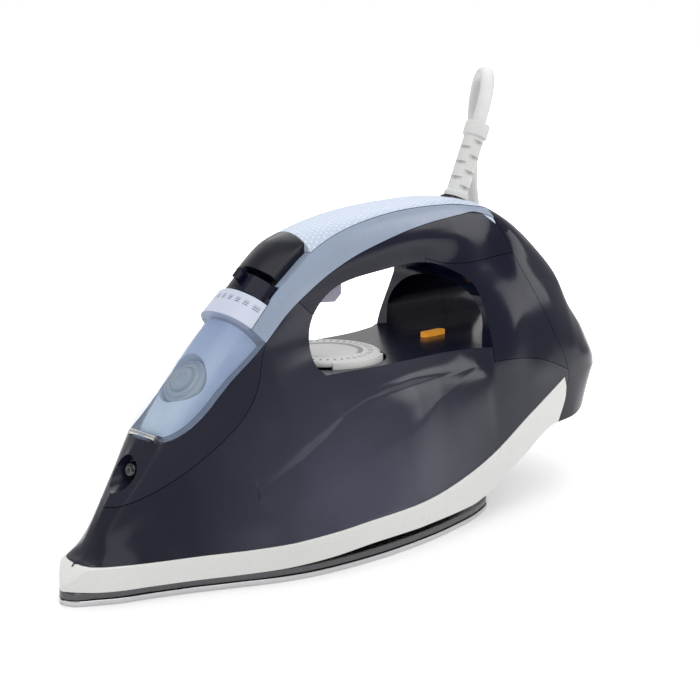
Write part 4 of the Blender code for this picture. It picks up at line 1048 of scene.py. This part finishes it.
def build_ring(form, normals, mats):
    """Scale saddle and steam drum."""
    ax = ring_axes()[0]
    axis = (ax[0], 0, ax[1])
    saddle = copy(form, "saddle")
    zone = prism(slab(GAP, RING_LEN, -30, AXIS_DEPTH + 3), "zone", RING_HALF)
    join(zone, prism(slab(GAP, RING_LEN, -30, WING_DEPTH), "wings"))
    common(saddle, zone)
    cut(saddle, rod(on_ring(-3, AXIS_DEPTH), axis, 30, HUB_R + GAP, "hub_room"))
    cut(form, drum_room())
    cut(form, prism(slab(0, RING_LEN + GAP, -30, AXIS_DEPTH + 3 + GAP), "zone_gap",
                    RING_HALF + GAP))
    cut(form, prism(slab(0, RING_LEN + GAP, -30, WING_DEPTH + GAP), "wing_gap"))
    cut(form, rod(on_ring(-14, AXIS_DEPTH), axis, 50, HUB_R + GAP, "hub_room"))
    dress(saddle, "pale_blue", mats["ring"], "steam_scale_ring", normals=normals)
    rim = 0.7
    drum = lathe([(HUB_R, 0), (DRUM_R - rim, 0), (DRUM_R, rim), (DRUM_R, DRUM_LEN - rim),
                  (DRUM_R - rim, DRUM_LEN)], on_ring(RING_LEN + GAP, AXIS_DEPTH), axis, "drum", 96)
    cut(drum, prism(slab(-5, 60, AXIS_DEPTH + 4, AXIS_DEPTH + 40), "back"))
    dress(drum, "dark_shell", mats["dark"], "steam_drum", body="steam_lever")


def build_handle(form, normals, mats):
    """Light band, soft grip, spray button, trigger pocket and lower handle shell."""
    band = take(form, soft(BAND_LOW) + soft(BAND_HIGH), "band")
    button_zone = BUTTON_ZONE[:3] + soft(BUTTON_ZONE[3:])
    button = copy(form, "button")
    common(button, prism(button_zone, "zone", BUTTON_HALF))
    room = drum_room()
    room.data.transform(Matrix.Translation((0, 0, (BUTTON_TRAVEL + 0.2) * 0.001)))
    cut(button, room)
    above = [(103, 118), (103, 170), (127.7, 170), (127.7, 137)] + lowered(BAND_HIGH[9:12], 1)
    cut(form, prism(above, "button_gap"))
    well = lowered(button_zone, BUTTON_TRAVEL + 0.8)
    cut(band, prism(grow(well, GAP), "well", BUTTON_HALF + GAP))
    pad = copy(form, "pad")
    pad_zone = [(128, 137), (128, 170), (249, 170), (249, 140)] + lowered(BAND_HIGH[1:9], 1)
    common(pad, prism(pad_zone, "zone"))
    cut(form, prism(grow(pad_zone, GAP), "pad_gap"))
    arch_zone = soft(ARCH_ZONE[:5]) + soft(ARCH_ZONE[5:11]) + ARCH_ZONE[11:]
    arch = take(form, arch_zone, "arch")
    shell = take(form, SHELL_ZONE, "shell")
    x0, x1 = TRIGGER_X - TRIGGER_HALF_X, TRIGGER_X + TRIGGER_HALF_X
    half = TRIGGER_HALF_Y
    roof = 124.8 + TRIGGER_TRAVEL
    cut(shell, box(x0 - GAP, x1 + GAP, -half - GAP, half + GAP, 100, roof + GAP, "pocket"))
    foot, lean = guard_axis()
    for target in (band, pad, shell, arch):
        cut(target, rod(foot - lean * 8, lean, 40, BUSH_R + GAP, "bush_room"))
    cut(arch, lens_room())
    for obj, slot, mat, name in ((band, "ice_blue", "band", "side_band"),
                                 (button, "dark_shell", "button", "spray_button"),
                                 (pad, "pale_grip", "pad", "grip_pad"),
                                 (arch, "dark_shell", "dark", "arch_frame"),
                                 (shell, "dark_shell", "dark", "handle_shell")):
        dress(obj, slot, mats[mat], name, normals=normals,
              body="button" if name == "spray_button" else "shell")


def pill(radius, z0, z1, name):
    """Stadium-shaped block on the deck for the pilot lens."""
    loop = []
    for i in range(40):
        a = math.pi * (i / 19 - 0.5) if i < 20 else math.pi * ((i - 20) / 19 + 0.5)
        end = LENS_X + LENS_HALF if i < 20 else LENS_X - LENS_HALF
        loop.append((end + radius * math.cos(a), radius * math.sin(a)))
    return skin([[put(x, y, z) for x, y in loop] for z in (z0, z1)], name)


def lens_room():
    """Room for the pilot lens in the deck."""
    return pill(LENS_R + GAP, DECK_Z - 2 - GAP, DECK_Z + 4, "lens_room")


def build_tank(form, nose, normals, mats):
    """Tank, nose cover, nozzle, dial and lens."""
    seat, out = plug_axis()
    cut(nose, rod(seat - out * 0.3, out, 14, PLUG_R + 1.0, "plug_room"))
    cut(form, lathe([(DIAL_GROOVE_R, TAB_BOTTOM - 1.4), (DIAL_GROOVE_OUT, TAB_BOTTOM - 1.4),
                     (DIAL_GROOVE_OUT, 100), (DIAL_GROOVE_R, 100)], (DIAL_X, 0, 0), (0, 0, 1),
                    "groove", 96, True))
    cut(form, lens_room())
    aim = Vector((-math.cos(0.2), 0, math.sin(0.2)))
    tip = Vector((NOZZLE_X, 0, NOZZLE_Z))
    heel = tip - aim * NOZZLE_LEN
    for target in (form, nose):
        cut(target, rod(heel, aim, 30, NOZZLE_R + GAP, "spray_room"))
    cut(nose, rod(tip - aim * 3.4, aim, 18, NOZZLE_R + 1.4, "scoop", 64, NOZZLE_R + 9))
    nozzle = lathe([(NOZZLE_R, 0.3), (NOZZLE_R, 6.2), (NOZZLE_R - 0.5, 7.2), (2.5, 7.8),
                    (1.3, NOZZLE_LEN), (0.9, NOZZLE_LEN - 0.2), (0.5, NOZZLE_LEN - 1)],
                   heel, aim, "nozzle", 48)
    dress(nozzle, "black_plastic", mats["black"], "spray_nozzle", angle=50)
    dress(nose, "dark_shell", mats["nose"], "nose_cover", normals=normals)
    dress(form, "smoke_tank", mats["tank"], "tank_body", normals=normals)
    build_dial(mats)
    lens = pill(LENS_R, DECK_Z - 2, DECK_Z + 2.2, "lens")
    dress(lens, "amber_lens", mats["amber"], "indicator_lens")


def build_dial(mats):
    """Temperature dial with a rounded rim, printed top and finger tab."""
    top = DIAL_TOP
    dial = lathe([(DIAL_R - 1.2, DECK_Z + GAP), (DIAL_R - 0.2, DECK_Z + 0.6), (DIAL_R, DECK_Z + 1),
                  (DIAL_R, top - 0.9), (DIAL_R - 0.3, top - 0.4), (DIAL_R - 0.9, top - 0.1),
                  (DIAL_R - 1.4, top), (DIAL_R - 10.4, top), (DIAL_R - 10.7, top - 0.35),
                  (DIAL_R - 11.4, top - 0.35), (DIAL_R - 11.7, top)],
                 (DIAL_X, 0, 0), (0, 0, 1), "dial", 128)
    outer, inner = [], []
    steps = 30
    for i in range(steps + 1):
        a = math.radians(-90 - TAB_HALF_ANGLE + 2 * TAB_HALF_ANGLE * i / steps)
        outer.append(((DIAL_R + 1.6) * math.cos(a), (DIAL_R + 1.6) * math.sin(a)))
        inner.append((22.6 * math.cos(a), 22.6 * math.sin(a)))
    loop = outer + inner[::-1]
    tab = skin([[put(DIAL_X + x, y, z) for x, y in loop] for z in (TAB_BOTTOM, top - 0.4)], "tab")
    join(dial, tab)
    dress(dial, "dial_white", mats["dial"], "temperature_dial", body="dial")
    dial.data.materials.append(mats["dial_side"])
    for face in dial.data.polygons:
        face.material_index = 0 if face.normal.z > 0.9 else 1


def build_lid(lid, normals, mats):
    """Clear filling lid, the plug seen through it and the light tray under it."""
    inner = envelope("inner", 0.88, (2.4, -2.2), False)
    cut(lid, inner)
    knuckle = rod((HINGE_X, -17, HINGE_Z), (0, 1, 0), 34, KNUCKLE_R, "knuckle")
    common(knuckle, envelope("limit", 0.97, (0.4, -0.4), False))
    front = [(HINGE_X, HINGE_Z), (HINGE_X, 40), (0, 40), (0, 120), (HINGE_X, 120)]
    cut(lid, prism(front, "front"))
    join(lid, knuckle)
    cut(lid, rod((HINGE_X, -20, HINGE_Z), (0, 1, 0), 40, HINGE_PIN_R + GAP, "pin_room"))
    dress(lid, "blue_clear", mats["clear"], "fill_door", body="door", normals=normals)
    seat, out = plug_axis()
    tray = envelope("tray", 0.86, (2.9, -2.7), False)
    floor = soft(LID_FLOOR)
    top = (RING_START[0] - 0.682 * 8 + 1.5, RING_START[1] + 0.731 * 8 - 1.4)
    common(tray, prism(floor[::-1][1:-4] + [(52, 78), (60, 130), top], "zone"))
    cut(tray, rod(seat - out * 12, out, 60, PLUG_R + 2.2, "well"))
    dress(tray, "blue_clear", mats["tray"], angle=40)
    plug = lathe([(8.0, -5), (8.3, 0), (PLUG_R, 0.1), (PLUG_R + 0.8, 0.6), (PLUG_R + 0.8, 2.4),
                  (PLUG_R + 0.3, 3.0), (9.9, 3.2), (9.4, 2.4), (8.8, 2.4), (8.3, 3.8), (7.6, 4.1),
                  (6.9, 3.9), (6.5, 3.0), (5.9, 3.0), (5.5, 4.8), (4.9, 5.1), (3.6, 5.1),
                  (3.1, 4.4), (1.6, 4.2), (0.6, 4.2)],
                 seat, out, "plug", 96)
    dress(plug, "silicone", mats["silicone"], "fill_plug", body="door", angle=50)


def build_heel(rear, normals, mats):
    """Heel cover with its pad seats and screw holes."""
    down = math.radians(26)
    face = Vector((math.cos(down), 0, math.sin(down)))
    for y in (17, -17):
        cut(rear, rod((306.0, y, 69.0), face, 30, PAD_R + GAP, "pad_room"))
    slope = math.radians(46)
    face = Vector((math.cos(slope), 0, math.sin(slope)))
    for y in (9, -9):
        cut(rear, rod((270.0, y, 121.5), face, 30, 2.8 + GAP, "screw_room"))
    dress(rear, "dark_shell", mats["dark"], "rear_cover", normals=normals)


# ------------------------------------------------------------------------ sole
def half_width(x):
    """Half width of the ironing plate at x."""
    outline = [(px, py, 0) for px, py in OUTLINE]
    return rail_at(outline, x)[0]


def plan(inset, count=110):
    """Closed plan outline of the ironing plate, moved inwards by inset."""
    start = OUTLINE[0][0]
    while half_width(start) < inset + OUTLINE[0][1]:
        start += 0.5
    half = []
    for i in range(count + 1):
        t = i / count
        x = start + (SOLE_LENGTH - inset - start) * (1 - (1 - t) ** 1.5) ** 1.3
        half.append((x, half_width(x) - inset))
    return half + [(x, -y) for x, y in half[::-1]]


def stack(levels, name):
    """Plan outlines (inset, z) stacked into one block."""
    return skin([[put(x, y, z) for x, y in plan(inset)] for inset, z in levels], name)


def build_sole(mats):
    """Ironing plate with a bright edge and steam holes, and the cast base rim."""
    sole = stack([(0.9, 0), (0.35, 0.25), (0.05, 0.8), (0, 1.2), (0, SOLE_THICK - 0.2),
                  (0.2, SOLE_THICK)], "sole")
    spots = [(24, 0), (38, 9), (38, -9), (58, 17), (58, -17), (80, 27), (80, -27),
             (106, 35), (106, -35), (136, 38), (136, -38), (166, 36), (166, -36)]
    for x, y in spots:
        cut(sole, rod((x, y, -2), (0, 0, 1), 8, STEAM_HOLE_R, "hole", 24))
    dress(sole, "sole_coating", mats["edge"], "soleplate")
    base = stack([(0.9, SOLE_THICK + GAP), (0.6, SOLE_THICK + 0.7), (0.6, FLANGE_TOP - 0.4),
                  (1.0, FLANGE_TOP), (BOSS_INSET, FLANGE_TOP + 0.1), (BOSS_INSET + 1, BOSS_TOP)],
                 "base")
    dress(base, "cast_alloy", mats["sole"], "heating_base")


# ------------------------------------------------------------------ cord sleeve
def build_guard(mats):
    """Bend sleeve with alternating slots and a collar at its top."""
    foot, lean = guard_axis()
    bore = CORD_R + 0.15
    radius = GUARD_R
    top = GUARD_LEN
    profile = [(bore, 0.2), (radius + 0.8, 0.2), (radius + 0.8, 2.6), (radius, 3.4),
               (radius - 0.2, top - 8), (radius + 0.2, top - 7.6), (radius + 0.9, top - 7),
               (radius + 0.9, top - 1), (radius + 0.5, top - 0.2), (radius, top), (bore, top)]
    sleeve = lathe(profile, foot, lean, "sleeve", 64, True)
    for i in range(7):
        centre = foot + lean * (5.6 + 4.0 * i)
        quarter = Vector((lean.z, 0, -lean.x)) if i % 2 else Vector((0, 1, 0))
        for side in (1, -1):
            cut(sleeve, block(centre + quarter * side * 5.2, quarter, lean, 3.0, 8.4, 1.9))
    dress(sleeve, "guard_white", mats["guard"], "cord_guard", body="guard")


def block(centre, outwards, upwards, deep, wide, tall):
    """Small block with its faces along given directions."""
    side = upwards.cross(outwards)
    bm = bmesh.new()
    bmesh.ops.create_cube(bm, size=0.001)
    turn = Matrix((outwards * deep, side * wide, upwards * tall)).transposed().to_4x4()
    bmesh.ops.transform(bm, matrix=Matrix.Translation(put(*centre)) @ turn, verts=bm.verts)
    return new_object(bm, "slot")


# ---------------------------------------------------------------- kept CAD nodes
def finish_cad(mats):
    """Procedural finishes on the CAD nodes that stay."""
    looks = {"steel": ["steam_chamber_cover", "heating_element", "thermostat", "door_hinge_pin",
                       "thermostat_shaft", "rear_screw_left", "rear_screw_right",
                       "plug_pin_left", "plug_pin_right"],
             "brass": ["thermal_fuse", "spray_pump", "steam_valve_rod"],
             "dark": ["steam_pointer"], "lilac": ["steam_trigger"], "black": ["cord_bushing"],
             "rubber": ["heel_pad_left", "heel_pad_right"], "plug": ["terminal_block"]}
    for look, names in looks.items():
        for name in names:
            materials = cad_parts[name].data.materials
            materials.clear()
            materials.append(mats[look])


# ----------------------------------------------------------------------- stage
def build_stage():
    """White floor, world and soft lamps."""
    bm = bmesh.new()
    bmesh.ops.create_grid(bm, x_segments=1, y_segments=1, size=6)
    floor = new_object(bm, "floor")
    floor.location.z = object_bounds()[0][2] - 0.0002
    mat, tree, sockets = shader("floor", (0.8, 0.8, 0.8, 1.0), 0.6)
    x, y, _ = position(tree)
    lift = (x * x + y * y).op("SQRT").span(0.22, 0.5, 0.2, 1.0)
    seen = rays_seen(tree, "Camera", "Glossy", "Transmission")
    seen.blend((0.72, 0.72, 0.72, 1), (0.95, 0.95, 0.95, 1)).to(sockets["Base Color"])
    sockets["Emission Color"].default_value = (1, 1, 1, 1)
    (seen * lift).to(sockets["Emission Strength"])
    floor.data.materials.append(mat)
    world = bpy.data.worlds.new("world")
    SCENE.world = world
    world.use_nodes = True
    tree = world.node_tree
    back = tree.nodes["Background"]
    seen = rays_seen(tree, "Camera", "Transmission")
    seen.span(0.0, 1.0, 0.66, 1.0).to(back.inputs["Strength"])
    back.inputs["Color"].default_value = (1, 1, 1, 1)
    lamp("key", (-0.7, -0.7, 1.6), 1.8, 12)
    lamp("fill", (1.0, -0.7, 0.6), 0.5, 2.4)
    lamp("rear", (0.8, 0.8, 1.2), 1.4, 8)


def rays_seen(tree, *kinds):
    """1 for rays of the given kinds, 0 for others."""
    rays = tree.nodes.new("ShaderNodeLightPath")
    first, *others = (Signal(tree, rays.outputs["Is %s Ray" % kind]) for kind in kinds)
    for other in others:
        first = first.op("MAXIMUM", other)
    return first


def lamp(name, place, size, power):
    """Square softbox aimed at the iron."""
    data = bpy.data.lights.new(name, "AREA")
    data.size = size
    data.energy = power
    obj = bpy.data.objects.new(name, data)
    SCENE.collection.objects.link(obj)
    obj.location = place
    obj.visible_camera = False
    obj.rotation_euler = (Vector(place) - Vector((0, 0, 0.08))).to_track_quat("Z", "Y").to_euler()


build_camera()
MATS = make_materials()
build_lead(MATS)
build_sole(MATS)
build_shells(MATS)
build_guard(MATS)
finish_cad(MATS)
build_stage()
SCENE.view_settings.view_transform = "Standard"
